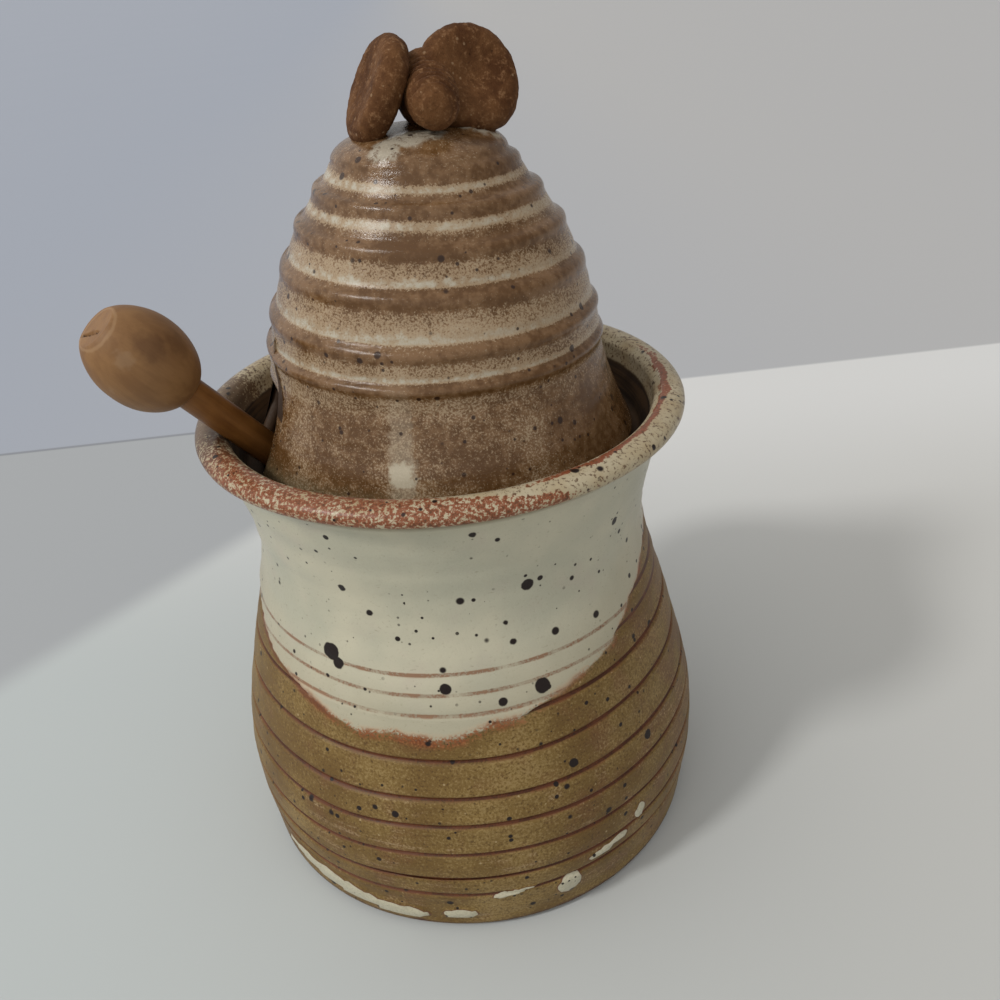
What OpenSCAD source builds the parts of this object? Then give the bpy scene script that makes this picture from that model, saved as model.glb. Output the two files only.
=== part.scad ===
// Beehive honey pot: a thrown jar, a lift-off domed lid with a bee on top, and a wooden dipper
// The origin is the middle of the flat foot, +Z is up, and -Y is the front

/* [Jar] */
// Radius of the flat foot that the jar stands on
foot_r = 51.2; // [50:0.2:51.8]
// Height of the bevel between the foot and the wall
foot_bevel = 1.4; // [0.8:0.2:2.4]
// Radius of the wall just above the bevel
heel_r = 52.4; // [52:0.2:54]
// Largest radius of the belly
belly_r = 54; // [53:0.25:56]
// Height of the belly's largest radius
belly_z = 18.2; // [15:0.2:22]
// Radius of the wall where the belly starts to draw in
waist_r = 53.1; // [52:0.1:54]
// Height where the belly starts to draw in
waist_z = 31.8; // [28:0.2:36]
// Radius of the shoulder
shoulder_r = 48.5; // [47.5:0.1:50]
// Height of the shoulder
shoulder_z = 50; // [46:0.5:54]
// Radius of the wall where the glaze line ends
upper_r = 44.6; // [44:0.1:46]
// Height of the wall at that radius
upper_z = 63.6; // [60:0.2:67]
// Smallest outer radius of the neck
neck_r = 41.8; // [41.2:0.1:43]
// Height of the neck
neck_z = 78.8; // [75:0.2:82]
// Thickness of the thrown wall
wall = 3.8; // [3:0.1:4.2]
// Thickness of the floor
floor_t = 6; // [4:0.5:9]
// Radius of the round between floor and wall
floor_round = 8; // [4:0.5:12]
// Radius of the ring that the rolled lip is wound on
lip_ring_r = 46.9; // [46.5:0.1:48]
// Radius of the roll of the lip
lip_roll_r = 3; // [2.6:0.1:3.4]
// Height of the middle of the lip's roll
lip_z = 101.3; // [100.6:0.1:103]
// Depth of the grooves turned in the wall
groove_depth = 0.5; // [0.2:0.05:0.9]
// Width of one groove
groove_w = 2; // [1.2:0.1:3]
// Height of the lowest groove
groove_low_z = 12; // [9:0.5:14]
// Height of the highest groove
groove_high_z = 55; // [52:0.5:58]

/* [Gallery] */
// Radius of the mouth inside the ledge
mouth_r = 38.4; // [37.8:0.1:38.6]
// Radius of the gallery wall where it meets the ledge
gallery_r = 41.2; // [40.8:0.1:41.8]
// Height of the ledge that the lid rests on
ledge_z = 94; // [93:0.25:95]
// Thickness of the ledge
ledge_t = 3.5; // [2.5:0.25:5]

/* [Lid] */
// Play between the lid's flange and the gallery wall
lid_gap = 0.7; // [0.4:0.1:1.2]
// Radius of the lid above its flared flange
lid_waist_r = 33.4; // [32.5:0.1:34]
// Height of that waist above the seat
lid_waist_h = 19; // [17:0.5:21]
// Radius of the lid at the middle of the dome
dome_r = 29.8; // [29:0.1:30.6]
// Height of that radius above the seat
dome_h = 35.1; // [33:0.5:37]
// Radius of the cap that closes the dome
cap_r = 16.4; // [15.6:0.2:17.4]
// Height of the cap's edge above the seat
cap_h = 56.9; // [55:0.3:58]
// Rise of the cap from its edge to the crown
cap_rise = 5.1; // [4.5:0.1:6]
// Thickness of the lid's wall
lid_wall = 4; // [3:0.1:4.6]
// How far the ridges of the hive stand out
ridge_depth = 1.5; // [0.6:0.1:2]
// Height of the lowest ridge above the seat
ridge_low_h = 23.6; // [22:0.2:25]
// Height of the highest ridge above the seat
ridge_high_h = 52; // [50:0.5:53]
// Number of ridges round the dome
ridge_count = 5; // [3:1:6]

/* [Notch for the dipper] */
// Direction of the middle of the notch, in degrees
notch_azimuth = -171.5; // [-172.5:0.5:-170]
// Width of the notch at its widest
notch_w = 22.6; // [20:0.2:25]
// Width of the notch where it opens at the seat
notch_foot_w = 17; // [16:0.2:19]
// Height of the notch above the seat
notch_h = 17.2; // [16:0.2:19]
// Radius of the notch's upper corners
notch_round = 6; // [4:0.5:8]

/* [Bee] */
// How far the bee sits to the side of the lid's axis
bee_x = 3.4; // [2:0.2:5]
// Radius of the bee's thorax
thorax_r = 5.2; // [4.6:0.1:5.8]
// Height of the thorax
thorax_h = 13.4; // [12.8:0.2:14.4]
// Height of the middle of the thorax above the crown
thorax_rise = 5.1; // [4.6:0.1:5.8]
// Length of the ringed abdomen
abdomen_len = 13.5; // [11.5:0.5:15]
// Radius of the abdomen's thickest ring
abdomen_r = 4.7; // [4:0.1:5]
// Number of rings on the abdomen
abdomen_rings = 4; // [3:1:6]
// Slope of the abdomen towards its tip, in degrees
abdomen_slope = 9; // [4:1:12]
// Radius of the bee's head
bee_head_r = 4.2; // [3.4:0.2:4.8]
// Distance from the thorax to the head
bee_head_y = 7.4; // [6.6:0.2:8.4]
// Radius of a wing
wing_r = 9.75; // [9:0.25:10.5]
// Thickness of a wing
wing_t = 5.2; // [4:0.2:6]
// Depth of the thumb hollow in a wing
wing_dish = 1.4; // [0.6:0.2:2]
// Distance from the thorax's axis to the middle of the left wing
wing_left_x = 8.9; // [8.3:0.1:9.3]
// Distance from the thorax's axis to the middle of the right wing
wing_right_x = 7.5; // [7:0.1:8]

/* [Dipper] */
// Whole length of the dipper
dipper_len = 151.2; // [147:0.2:158]
// Radius of the dipper's shaft
shaft_r = 3.2; // [2.8:0.1:3.4]
// Slope of the dipper as it leans, in degrees
lean = 52.2; // [51:0.2:54]
// Direction that the knob leans to, in degrees
heading = -150.7; // [-153:0.5:-149]
// Direction of the place where the shaft crosses the lip, in degrees
lip_contact = -164.8; // [-166:0.2:-164]
// Clearance between the dipper and the jar
rest_gap = 0.2; // [0.15:0.05:0.4]
// Radius of the knob
knob_r = 8.7; // [8:0.1:10]
// Length of the knob
knob_len = 19.4; // [17:0.2:23]
// Radius of the flat on the knob's end
knob_flat_r = 4.2; // [3:0.1:5]
// Depth of the sockets that the shaft is glued into
socket_depth = 9; // [6:0.5:12]
// Thickness of the glue round the shaft
glue_gap = 0.05; // [0.03:0.01:0.1]
// Largest radius of the grooved head
head_r = 11; // [9:0.25:12]
// Length of the grooved head
head_len = 34; // [28:0.5:38]
// Number of ribs on the head
head_ribs = 6; // [4:1:7]
// Thickness of one rib
rib_t = 3; // [2:0.1:3.4]
// Radius of the core between the ribs
head_core_r = 5; // [4.6:0.1:6]

/* [Hidden] */
$fn = 96;

// Small amount by which a cutting shape overruns what it cuts
overrun = 1;
// How many of its own thicknesses below its face the ledge runs out into the wall
ledge_root = 2;
// Steps along one stretch of a smooth outline
stretch_steps = 4;
// Steps round a quarter of a circle in an outline
quarter_steps = 6;
// Steps round the rim of the cap or of a wing
rim_steps = 8;
// Steps round half of an egg
egg_steps = 24;

// The lid's flange fits in the gallery
lid_base_r = gallery_r - lid_gap;
// The lip and the wall below it meet inside the roll: how far below its middle, and how far in from it
root_drop = 0.6;
flare_drop = 1.77;
flare_inset = 0.63;
lip_root = [lip_ring_r, lip_z - lip_roll_r * root_drop];
flare = [lip_ring_r - lip_roll_r * flare_inset, lip_z - lip_roll_r * flare_drop];

// The outside of the jar, as radius and height, from heel to lip
wall_keys = [
    [heel_r, foot_bevel],
    [belly_r, belly_z],
    [waist_r, waist_z],
    [shoulder_r, shoulder_z],
    [upper_r, upper_z],
    [neck_r, neck_z],
    flare,
    lip_root
];
// Where the grooves lie between the lowest and the highest one
groove_shares = [0, 0.13, 0.3, 0.47, 0.62, 0.81, 1];
grooves = [for (share = groove_shares) groove_low_z + share * (groove_high_z - groove_low_z)];

// The outside of the lid, as radius and height above its seat, from flange to the cap's edge
flange_share = 0.42;
straight_h = 5;
straight_draft = 0.4;
shoulder_bulge = 1.4;
lid_keys = [
    [lid_base_r, 0],
    [(lid_waist_r + lid_base_r) / 2, lid_waist_h * flange_share],
    [lid_waist_r, lid_waist_h],
    [lid_waist_r - straight_draft, lid_waist_h + straight_h],
    [dome_r, dome_h],
    [(dome_r + cap_r) / 2 + shoulder_bulge, (dome_h + cap_h) / 2],
    [cap_r, cap_h]
];
lid_h = cap_h + cap_rise;

// The lid rests on the ledge
seat = ledge_z;

// The bee sits on the crown of the lid, and its pieces are placed from the middle of the thorax
bee_y = 1.5;
thorax_at = [bee_x, bee_y, seat + lid_h + thorax_rise];
abdomen_offset = [-0.1, -1.9, 1.3];
abdomen_root = thorax_at + abdomen_offset;
abdomen_turn = 4;
bee_head_offset = [-0.6, bee_head_y, -2.2];
bee_head_at = thorax_at + bee_head_offset;
// The way each wing's hollow face looks, and its place
wing_left_offset = [-wing_left_x, -3.1, 0.8];
wing_left_at = thorax_at + wing_left_offset;
wing_left_normal = [-0.9, -0.14, 0.415];
wing_right_offset = [wing_right_x, -0.1, 1.3];
wing_right_at = thorax_at + wing_right_offset;
wing_right_normal = [0.39, -0.817, 0.43];
// The abdomen narrows steadily by a little, and from a share of its length it closes to a blunt tip
abdomen_narrowing = 0.9;
abdomen_valley = 0.35;
tip_from = 0.8;
tip_closing = 3.2;
tip_share = 0.45;

// The dipper leans over the lip and its head reaches the floor
dipper_dir = [cos(lean) * cos(heading), cos(lean) * sin(heading), sin(lean)];
lip_middle = [lip_ring_r * cos(lip_contact), lip_ring_r * sin(lip_contact), lip_z];
lip_tangent = [-sin(lip_contact), cos(lip_contact), 0];
away = unit(cross(dipper_dir, lip_tangent));
over_lip = lip_middle + away * sign(away[2]) * (lip_roll_r + shaft_r + rest_gap);
rib_pitch = (head_len - rib_t) / (head_ribs - 1);
rib_edge = 0.7;
egg_taper = 0.42;
// The knob closes round the shaft at this share of the angle of its flat end
knob_neck_share = 0.8;
head_reach = max([for (p = head_outline()) p[0] * cos(lean) - p[1] * sin(lean)]);
head_end_z = floor_t + rest_gap + head_reach;
head_end = over_lip - dipper_dir * ((over_lip[2] - head_end_z) / sin(lean));

// A vector of length one
function unit(v) = v / norm(v);

// Slope of radius against height at a key of an outline
function key_slope(keys, i) =
    let (a = keys[max(i - 1, 0)], b = keys[min(i + 1, len(keys) - 1)]) (b[0] - a[0]) / (b[1] - a[1]);

// Which stretch of an outline holds a height
function stretch_of(keys, z, i = 0) =
    i >= len(keys) - 2 || z < keys[i + 1][1] ? i : stretch_of(keys, z, i + 1);

// Radius of a smooth outline at a height
function radius_at(keys, z) =
    let (
        i = stretch_of(keys, z),
        a = keys[i],
        b = keys[i + 1],
        rise = b[1] - a[1],
        t = (z - a[1]) / rise
    )
    a[0] * (2 * t ^ 3 - 3 * t ^ 2 + 1) + rise * key_slope(keys, i) * (t ^ 3 - 2 * t ^ 2 + t)
    + b[0] * (3 * t ^ 2 - 2 * t ^ 3) + rise * key_slope(keys, i + 1) * (t ^ 3 - t ^ 2);

// Points of an outline between two heights, without the last
function stretch(keys, from, to, steps) =
    [for (s = [0 : steps - 1]) let (z = from + (to - from) * s / steps) [radius_at(keys, z), z]];

// Points of a quarter circle from one angle, without the last
function quarter(middle, r, start, turn = 90) =
    [for (s = [0 : quarter_steps - 1]) let (a = start + turn * s / quarter_steps)
        middle + r * [cos(a), sin(a)]];

// The wall's outside with a shallow groove at each groove height
function grooved_wall() =
    let (n = len(grooves))
    concat(
        stretch(wall_keys, foot_bevel, grooves[0] - groove_w / 2, 3),
        [for (i = [0 : n - 1]) each concat(
            [
                [radius_at(wall_keys, grooves[i] - groove_w / 2), grooves[i] - groove_w / 2],
                [radius_at(wall_keys, grooves[i]) - groove_depth, grooves[i]]
            ],
            stretch(wall_keys, grooves[i] + groove_w / 2,
                i < n - 1 ? grooves[i + 1] - groove_w / 2 : upper_z, 3)
        )],
        stretch(wall_keys, upper_z, neck_z, stretch_steps),
        stretch(wall_keys, neck_z, flare[1], stretch_steps),
        [flare, lip_root]
    );

// The inside of the jar from the mouth down to the floor
function inner_wall() =
    let (
        top_z = ledge_z - ledge_t * ledge_root,
        low_z = floor_t + floor_round,
        low_r = radius_at(wall_keys, low_z) - wall,
        steps = 14
    )
    concat(
        [for (s = [0 : steps - 1]) let (z = top_z + (low_z - top_z) * s / steps)
            [radius_at(wall_keys, z) - wall, z]],
        quarter([low_r - floor_round, low_z], floor_round, 0, -90),
        [[low_r - floor_round, floor_t], [0, floor_t]]
    );

// The jar: wall, floor and gallery, with the rolled lip added
module jar() {
    color([0.78, 0.72, 0.58]) {
        rotate_extrude() polygon(concat(
            [[0, 0], [foot_r, 0]],
            grooved_wall(),
            [
                [lip_ring_r, lip_z],
                [lip_ring_r - lip_roll_r, lip_z],
                [gallery_r, ledge_z],
                [mouth_r, ledge_z],
                [mouth_r, ledge_z - ledge_t]
            ],
            inner_wall()
        ));
        rotate_extrude() translate([lip_ring_r, lip_z]) circle(lip_roll_r);
    }
}

// Heights of the hive's ridges above the seat, from the lowest
ridge_pitch = (ridge_high_h - ridge_low_h) / (ridge_count - 1);
ridges = [for (i = [0 : ridge_count - 1]) ridge_low_h + i * ridge_pitch];
// Shares of the pitch: how far below a crest its underside starts, where the shelf of pooled glaze
// lies above it, and where the hollow starts
under_share = 0.2;
shelf_share = 0.3;
hollow_share = 0.62;
// Shares of the ridges' depth at the underside and at the hollow
under_depth = 0.35;
hollow_depth = 0.7;

// Outside of the lid with its ridges: a crest, a shelf above it, and a hollow up to the next crest
function ridged_dome() =
    concat(
        stretch(lid_keys, 0, lid_waist_h, 6),
        [for (h = ridges) each [
            [radius_at(lid_keys, h - ridge_pitch * under_share) - ridge_depth * under_depth,
                h - ridge_pitch * under_share],
            [radius_at(lid_keys, h), h],
            [radius_at(lid_keys, h + ridge_pitch * shelf_share) - ridge_depth, h + ridge_pitch * shelf_share],
            [radius_at(lid_keys, h + ridge_pitch * hollow_share) - ridge_depth * hollow_depth,
                h + ridge_pitch * hollow_share]
        ]],
        cap_points(cap_r, cap_h, lid_h)
    );

// The rounded cap between its edge and the crown
function cap_points(r, from, to) =
    [for (s = [0 : rim_steps]) let (a = 90 * s / rim_steps) [r * cos(a), from + (to - from) * sin(a)]];

// Outside of the lid as one solid
module lid_form() {
    translate([0, 0, seat]) rotate_extrude() polygon(concat([[0, 0]], ridged_dome()));
}

// The lid's cap alone, which the bee's pieces are cut to
module crown_form() {
    translate([0, 0, seat]) rotate_extrude() polygon(concat([[0, cap_h]], cap_points(cap_r, cap_h, lid_h)));
}

// How many wall thicknesses the hollow stays below the crown, in from the cap's side and below its edge
crown_walls = 1.25;
cap_side_walls = 0.4;
cap_edge_walls = 1.4;

// The hollow inside the lid
module lid_hollow() {
    inner_top = lid_h - lid_wall * crown_walls;
    inner_cap_r = cap_r - lid_wall * cap_side_walls;
    inner_cap_h = cap_h - lid_wall * cap_edge_walls;
    steps = 12;
    translate([0, 0, seat]) rotate_extrude() polygon(concat(
        [[0, -overrun], [lid_base_r - lid_wall, -overrun]],
        [for (s = [0 : steps - 1]) let (z = inner_cap_h * s / steps)
            [radius_at(lid_keys, z) - lid_wall - ridge_depth * z / cap_h, z]],
        cap_points(inner_cap_r - ridge_depth, inner_cap_h, inner_top)
    ));
}

// How many wall thicknesses inside the waist the arch's cut begins
notch_walls = 3;

// The arch in the lid's foot that lets the dipper's shaft out
module notch() {
    corner_y = notch_w / 2 - notch_round;
    corner_z = notch_h - notch_round;
    depth = lid_waist_r - lid_wall * notch_walls;
    rotate([0, 0, notch_azimuth]) translate([depth, 0, seat]) rotate([90, 0, 90])
        linear_extrude(lid_base_r) {
            polygon([
                [-notch_foot_w / 2, -overrun],
                [notch_foot_w / 2, -overrun],
                [notch_w / 2, corner_z],
                [corner_y, notch_h],
                [-corner_y, notch_h],
                [-notch_w / 2, corner_z]
            ]);
            for (side = [-1, 1]) translate([side * corner_y, corner_z]) circle(notch_round);
        }
}

// The lid: a hollow ridged dome that rests on the ledge, with the notch in its foot
module lid() {
    color([0.62, 0.5, 0.38]) difference() {
        lid_form();
        lid_hollow();
        notch();
    }
}

// Turns what stands along +Z to lie along a direction
module along(dir) {
    rotate([0, acos(dir[2] / norm(dir)), atan2(dir[1], dir[0])]) children();
}

// The thorax as a whole egg of clay
module thorax_form() {
    translate(thorax_at) rotate_extrude()
        polygon([for (s = [0 : egg_steps]) let (a = -90 + 180 * s / egg_steps)
            [thorax_r * cos(a), thorax_h / 2 * sin(a)]]);
}

// The abdomen as a stack of rings that ends in a blunt tip
module abdomen_form() {
    pitch = abdomen_len / abdomen_rings;
    ring_steps = 5;
    translate(abdomen_root) rotate([0, 0, abdomen_turn]) rotate([90 + abdomen_slope, 0, 0])
        rotate_extrude() polygon(concat(
            [[0, 0]],
            [for (i = [0 : abdomen_rings - 1]) each [
                for (s = [0 : ring_steps - 1]) let (
                        t = s / ring_steps,
                        share = (i + t) / abdomen_rings,
                        closing = tip_closing * max(share - tip_from, 0) ^ 1.5
                    )
                    [(abdomen_r - abdomen_narrowing * share ^ 2) * (1 - closing)
                        - abdomen_valley * (1 - sin(180 * t)), (i + t) * pitch]
            ]],
            [[abdomen_r * tip_share, abdomen_len], [0, abdomen_len]]
        ));
}

// A wing: a thick round pat of clay with a thumb hollow on its outer face
module wing_form(at, normal) {
    edge = wing_t / 2;
    flat = wing_r - edge;
    dish_steps = 4;
    translate(at) along(normal) rotate_extrude() polygon(concat(
        [[0, -edge]],
        [for (s = [0 : rim_steps]) let (a = -90 + 180 * s / rim_steps) [flat + edge * cos(a), edge * sin(a)]],
        [for (s = [dish_steps - 1 : -1 : 0]) let (t = s / dish_steps)
            [flat * t, edge - wing_dish * (1 + cos(180 * t)) / 2]]
    ));
}

module bee_thorax() {
    color([0.45, 0.31, 0.21]) difference() {
        thorax_form();
        crown_form();
    }
}

module bee_abdomen() {
    color([0.5, 0.36, 0.25]) difference() {
        abdomen_form();
        thorax_form();
        crown_form();
    }
}

module bee_head() {
    color([0.42, 0.29, 0.2]) difference() {
        translate(bee_head_at) sphere(bee_head_r);
        thorax_form();
        crown_form();
    }
}

module bee_wing_left() {
    color([0.47, 0.32, 0.22]) difference() {
        wing_form(wing_left_at, wing_left_normal);
        thorax_form();
        abdomen_form();
        crown_form();
    }
}

module bee_wing_right() {
    color([0.47, 0.33, 0.23]) difference() {
        wing_form(wing_right_at, wing_right_normal);
        thorax_form();
        abdomen_form();
        crown_form();
        translate(bee_head_at) sphere(bee_head_r);
    }
}

// Places what is modelled from the head's end upwards along the leaning dipper
module on_dipper() {
    translate(head_end) rotate([0, 90 - lean, heading]) children();
}

// Radius of the head's egg outline at a distance from its end
function head_radius(s) =
    let (half = head_len / 2, t = (s - half) / half) head_r * sqrt(1 - egg_taper * t * t);

// Outline of the grooved head, as radius and distance from its end
function head_outline() =
    [for (i = [0 : head_ribs - 1]) each let (s = i * rib_pitch, r = head_radius(s + rib_t / 2)) [
        [head_core_r, s],
        [r - rib_edge, s],
        [r, s + rib_edge],
        [r, s + rib_t - rib_edge],
        [r - rib_edge, s + rib_t],
        [head_core_r, s + rib_t]
    ]];

// The grooved head that gathers honey, with the socket for the shaft
module dipper_head() {
    color([0.68, 0.48, 0.28]) on_dipper() difference() {
        rotate_extrude() polygon(concat([[0, 0]], head_outline(), [[0, head_len]]));
        translate([0, 0, head_len - socket_depth])
            cylinder(r = shaft_r + glue_gap, h = socket_depth + overrun);
    }
}

// The straight shaft, glued into the head and the knob
module dipper_shaft() {
    color([0.6, 0.38, 0.2]) on_dipper()
        translate([0, 0, head_len - socket_depth])
            cylinder(r = shaft_r, h = dipper_len - knob_len - head_len + socket_depth * 2);
}

// The egg-shaped knob with a flat end, and the socket for the shaft
module dipper_knob() {
    half = knob_len / 2;
    flat_turn = asin(knob_flat_r / knob_r);
    color([0.76, 0.58, 0.38]) on_dipper() difference() {
        translate([0, 0, dipper_len - half]) rotate_extrude() polygon(concat(
            [[0, -half]],
            [for (s = [0 : egg_steps]) let (
                    start = -90 + flat_turn * knob_neck_share,
                    a = start + (90 - flat_turn - start) * s / egg_steps,
                    scale_z = half / cos(flat_turn)
                )
                [knob_r * cos(a), max(-half, scale_z * sin(a))]],
            [[0, half]]
        ));
        translate([0, 0, dipper_len - knob_len - overrun])
            cylinder(r = shaft_r + glue_gap, h = socket_depth + overrun);
    }
}

jar();
lid();
bee_thorax();
bee_abdomen();
bee_head();
bee_wing_left();
bee_wing_right();
dipper_head();
dipper_shaft();
dipper_knob();
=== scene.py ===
# %% [markdown]
# # A stoneware honey pot with a beehive lid
# This script dresses a thrown honey pot: a speckled jar, a ridged lid with a clay bee, and a wooden dipper.
# Each piece starts as a blank with an outline that a potter or a turner would know. It then gets its glaze or
# wood, and a tree of nodes that gives it its final shape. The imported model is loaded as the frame, and every
# piece is made where that frame already has it.

# %% Load the frame
import math

import bpy
import numpy as np
from mathutils import Matrix, Vector


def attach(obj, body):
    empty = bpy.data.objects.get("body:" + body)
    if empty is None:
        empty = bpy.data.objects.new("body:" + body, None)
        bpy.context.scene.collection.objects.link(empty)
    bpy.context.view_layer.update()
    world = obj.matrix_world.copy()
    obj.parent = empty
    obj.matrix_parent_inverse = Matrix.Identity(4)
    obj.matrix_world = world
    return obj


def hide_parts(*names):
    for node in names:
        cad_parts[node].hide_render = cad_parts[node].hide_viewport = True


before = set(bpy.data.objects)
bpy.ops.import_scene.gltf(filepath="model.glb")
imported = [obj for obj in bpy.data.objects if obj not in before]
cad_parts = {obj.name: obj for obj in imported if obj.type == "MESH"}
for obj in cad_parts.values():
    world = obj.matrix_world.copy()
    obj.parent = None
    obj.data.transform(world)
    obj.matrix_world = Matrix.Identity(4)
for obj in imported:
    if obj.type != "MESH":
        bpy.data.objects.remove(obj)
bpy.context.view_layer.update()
MM = 0.001

# %% [markdown]
# ## Camera
# The photograph looks down on the pot from in front, with the camera tilted a little to one side. A camera is
# a place and three directions: its own right, up and back. They are worked out from three angles.

# %% Camera
CAMERA_PLACE = Vector((0.0, -178.27, 181.02)) * MM
CAMERA_TURN = math.radians(3.448)
CAMERA_DOWN = math.radians(30.559)
CAMERA_TILT = math.radians(-4.322)
CAMERA_LENS = 33.21
CAMERA_NEAR = 5.0


def pointing(heading, rise):
    """A direction from its heading, round from +X, and its rise above level, both in radians."""
    level = math.cos(rise)
    return Vector((level * math.cos(heading), level * math.sin(heading), math.sin(rise)))


def add_camera():
    ahead = pointing(math.pi / 2 - CAMERA_TURN, -CAMERA_DOWN)
    level_right = ahead.cross(Vector((0, 0, 1))).normalized()
    level_up = level_right.cross(ahead)
    right = math.cos(CAMERA_TILT) * level_right + math.sin(CAMERA_TILT) * level_up
    up = math.cos(CAMERA_TILT) * level_up - math.sin(CAMERA_TILT) * level_right
    camera = bpy.data.objects.new("camera", bpy.data.cameras.new("camera"))
    camera.data.lens = CAMERA_LENS
    camera.data.clip_start = CAMERA_NEAR * MM
    turn = Matrix((right, up, -ahead)).transposed().to_4x4()
    camera.matrix_world = Matrix.Translation(CAMERA_PLACE) @ turn
    bpy.context.scene.collection.objects.link(camera)
    bpy.context.scene.camera = camera
    return camera


camera = add_camera()
print("camera at", [round(value / MM, 1) for value in camera.location], "mm")

# %% [markdown]
# ## Writing node trees as sums
# Materials and Geometry Nodes share the Math and Noise nodes, so one set of helpers serves both. `Value`
# wraps a socket so that `1 - mask` adds a Math node. `Bench` adds any other node, its settings first. Of the
# functions after it, `ease` turns any value into a mask from 0 to 1, and `lay` puts colours on through masks.

# %% Node helpers
class Value:
    """A socket that can be used in sums."""

    def __init__(self, bench, socket):
        self.bench = bench
        self.socket = socket

    def __add__(self, other):
        return self.bench.maths("ADD", self, other)

    def __sub__(self, other):
        return self.bench.maths("SUBTRACT", self, other)

    def __rsub__(self, other):
        return self.bench.maths("SUBTRACT", other, self)

    def __mul__(self, other):
        return self.bench.maths("MULTIPLY", self, other)

    def __truediv__(self, other):
        return self.bench.maths("DIVIDE", self, other)

    def __neg__(self):
        return self.bench.maths("MULTIPLY", self, -1.0)

    def __abs__(self):
        return self.bench.maths("ABSOLUTE", self)

    __radd__ = __add__


class Bench:
    """Adds nodes to one tree, of a material, a world or Geometry Nodes."""

    def __init__(self, tree):
        self.tree = tree

    def node(self, kind, settings=None, sockets=None):
        made = self.tree.nodes.new(kind)
        for name, setting in (settings or {}).items():
            if name == "curve":
                self.draw_curve(made.mapping, setting)
            else:
                setattr(made, name, setting)
        for key, value in (sockets or {}).items():
            self.feed(made.inputs[key], value)
        return made

    def draw_curve(self, mapping, points):
        drawn = mapping.curves[0]
        for place in points[2:]:
            drawn.points.new(*place)
        for point, place in zip(drawn.points, sorted(points)):
            point.location = place
        mapping.update()

    def feed(self, socket, value):
        if isinstance(value, Value):
            self.tree.links.new(value.socket, socket)
        elif socket.type == "RGBA":
            socket.default_value = (*value, 1.0)
        else:
            socket.default_value = value

    def value(self, made, output=0):
        return Value(self, made.outputs[output])

    def get(self, kind, settings=None, sockets=None, output=0):
        """Adds a node and gives one of its outputs."""
        return self.value(self.node(kind, settings, sockets), output)

    def maths(self, operation, *values):
        return self.get("ShaderNodeMath", {"operation": operation}, dict(enumerate(values)))

    def vector(self, operation, *values):
        return self.get("ShaderNodeVectorMath", {"operation": operation}, dict(enumerate(values)))

    def scaled(self, vector, amount):
        return self.get("ShaderNodeVectorMath", {"operation": "SCALE"}, {0: vector, "Scale": amount})


def measure(operation, value, other):
    """A distance or a dot product."""
    sockets = {0: value, 1: other}
    return value.bench.get("ShaderNodeVectorMath", {"operation": operation}, sockets, "Value")


def ease(value, low, high):
    """0 below low, 1 above high and smooth between them. It falls where low is the larger."""
    sockets = {"Value": value, "From Min": min(low, high), "From Max": max(low, high)}
    rise = value.bench.get("ShaderNodeMapRange", {"interpolation_type": "SMOOTHSTEP"}, sockets)
    return rise if low < high else 1 - rise


def most(high, *others):
    for other in others:
        high = high.bench.maths("MAXIMUM", high, other)
    return high


def mix(factor, first, second):
    sockets = {0: factor, 6: first, 7: second}
    return factor.bench.get("ShaderNodeMix", {"data_type": "RGBA"}, sockets, 2)


def fade(value, low, high, colours):
    """Goes from the first colour to the second as a value rises."""
    return mix(ease(value, low, high), *colours)


def lay(under, *coats):
    """Lays coats over a colour in turn. Each is a mask and the colour that it shows."""
    for mask, colour in coats:
        under = mix(mask, under, colour)
    return under


def curve(value, points):
    return value.bench.get("ShaderNodeFloatCurve", {"curve": points}, {"Value": value})


def axes(place):
    parts = place.bench.node("ShaderNodeSeparateXYZ", None, {0: place})
    return [place.bench.value(parts, index) for index in range(3)]


def noise(place, size, detail=2.0, roughness=0.5, shift=0.0):
    """Noise about zero, mostly within a quarter either way, in lumps of a size in millimetres."""
    stretch = size if isinstance(size, tuple) else (size, size, size)
    scales = tuple(1 / part for part in stretch)
    scaled = place.bench.vector("MULTIPLY_ADD", place, scales, (shift, shift * 1.7, shift * 2.3))
    sockets = {"Vector": scaled, "Scale": 1.0, "Detail": detail, "Roughness": roughness}
    return place.bench.get("ShaderNodeTexNoise", None, sockets) - 0.5


def specks(place, size, radius, share=0.6, shift=0.0):
    """A mask of dots, at most one in each cell of a size. A share of the cells has one, of its own radius."""
    bench = place.bench
    scaled = bench.vector("MULTIPLY_ADD", place, (1 / size,) * 3, (shift, shift * 1.3, shift * 0.7))
    sockets = {"Vector": scaled, "Scale": 1.0, "Randomness": 0.9}
    cells = bench.node("ShaderNodeTexVoronoi", {"feature": "F1"}, sockets)
    chance = axes(bench.value(cells, "Color"))[0]
    reach = ease(chance, 1 - share, 1.15) * (radius / size) * 1.3 - 0.04
    return ease(bench.value(cells, "Distance") - reach, 0.04, -0.04)


print("the node helpers are ready")

# %% [markdown]
# ## Starting a finish and starting a shape
# A finish is a material whose patterns are laid out in millimetres on the piece itself, so they stay put when
# the piece is moved. A shape is a Geometry Nodes tree that pushes a blank's surface in and out.
# Both read the mark "outside", which is 1 on the faces that look outwards and 0 inside a pot.

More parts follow.
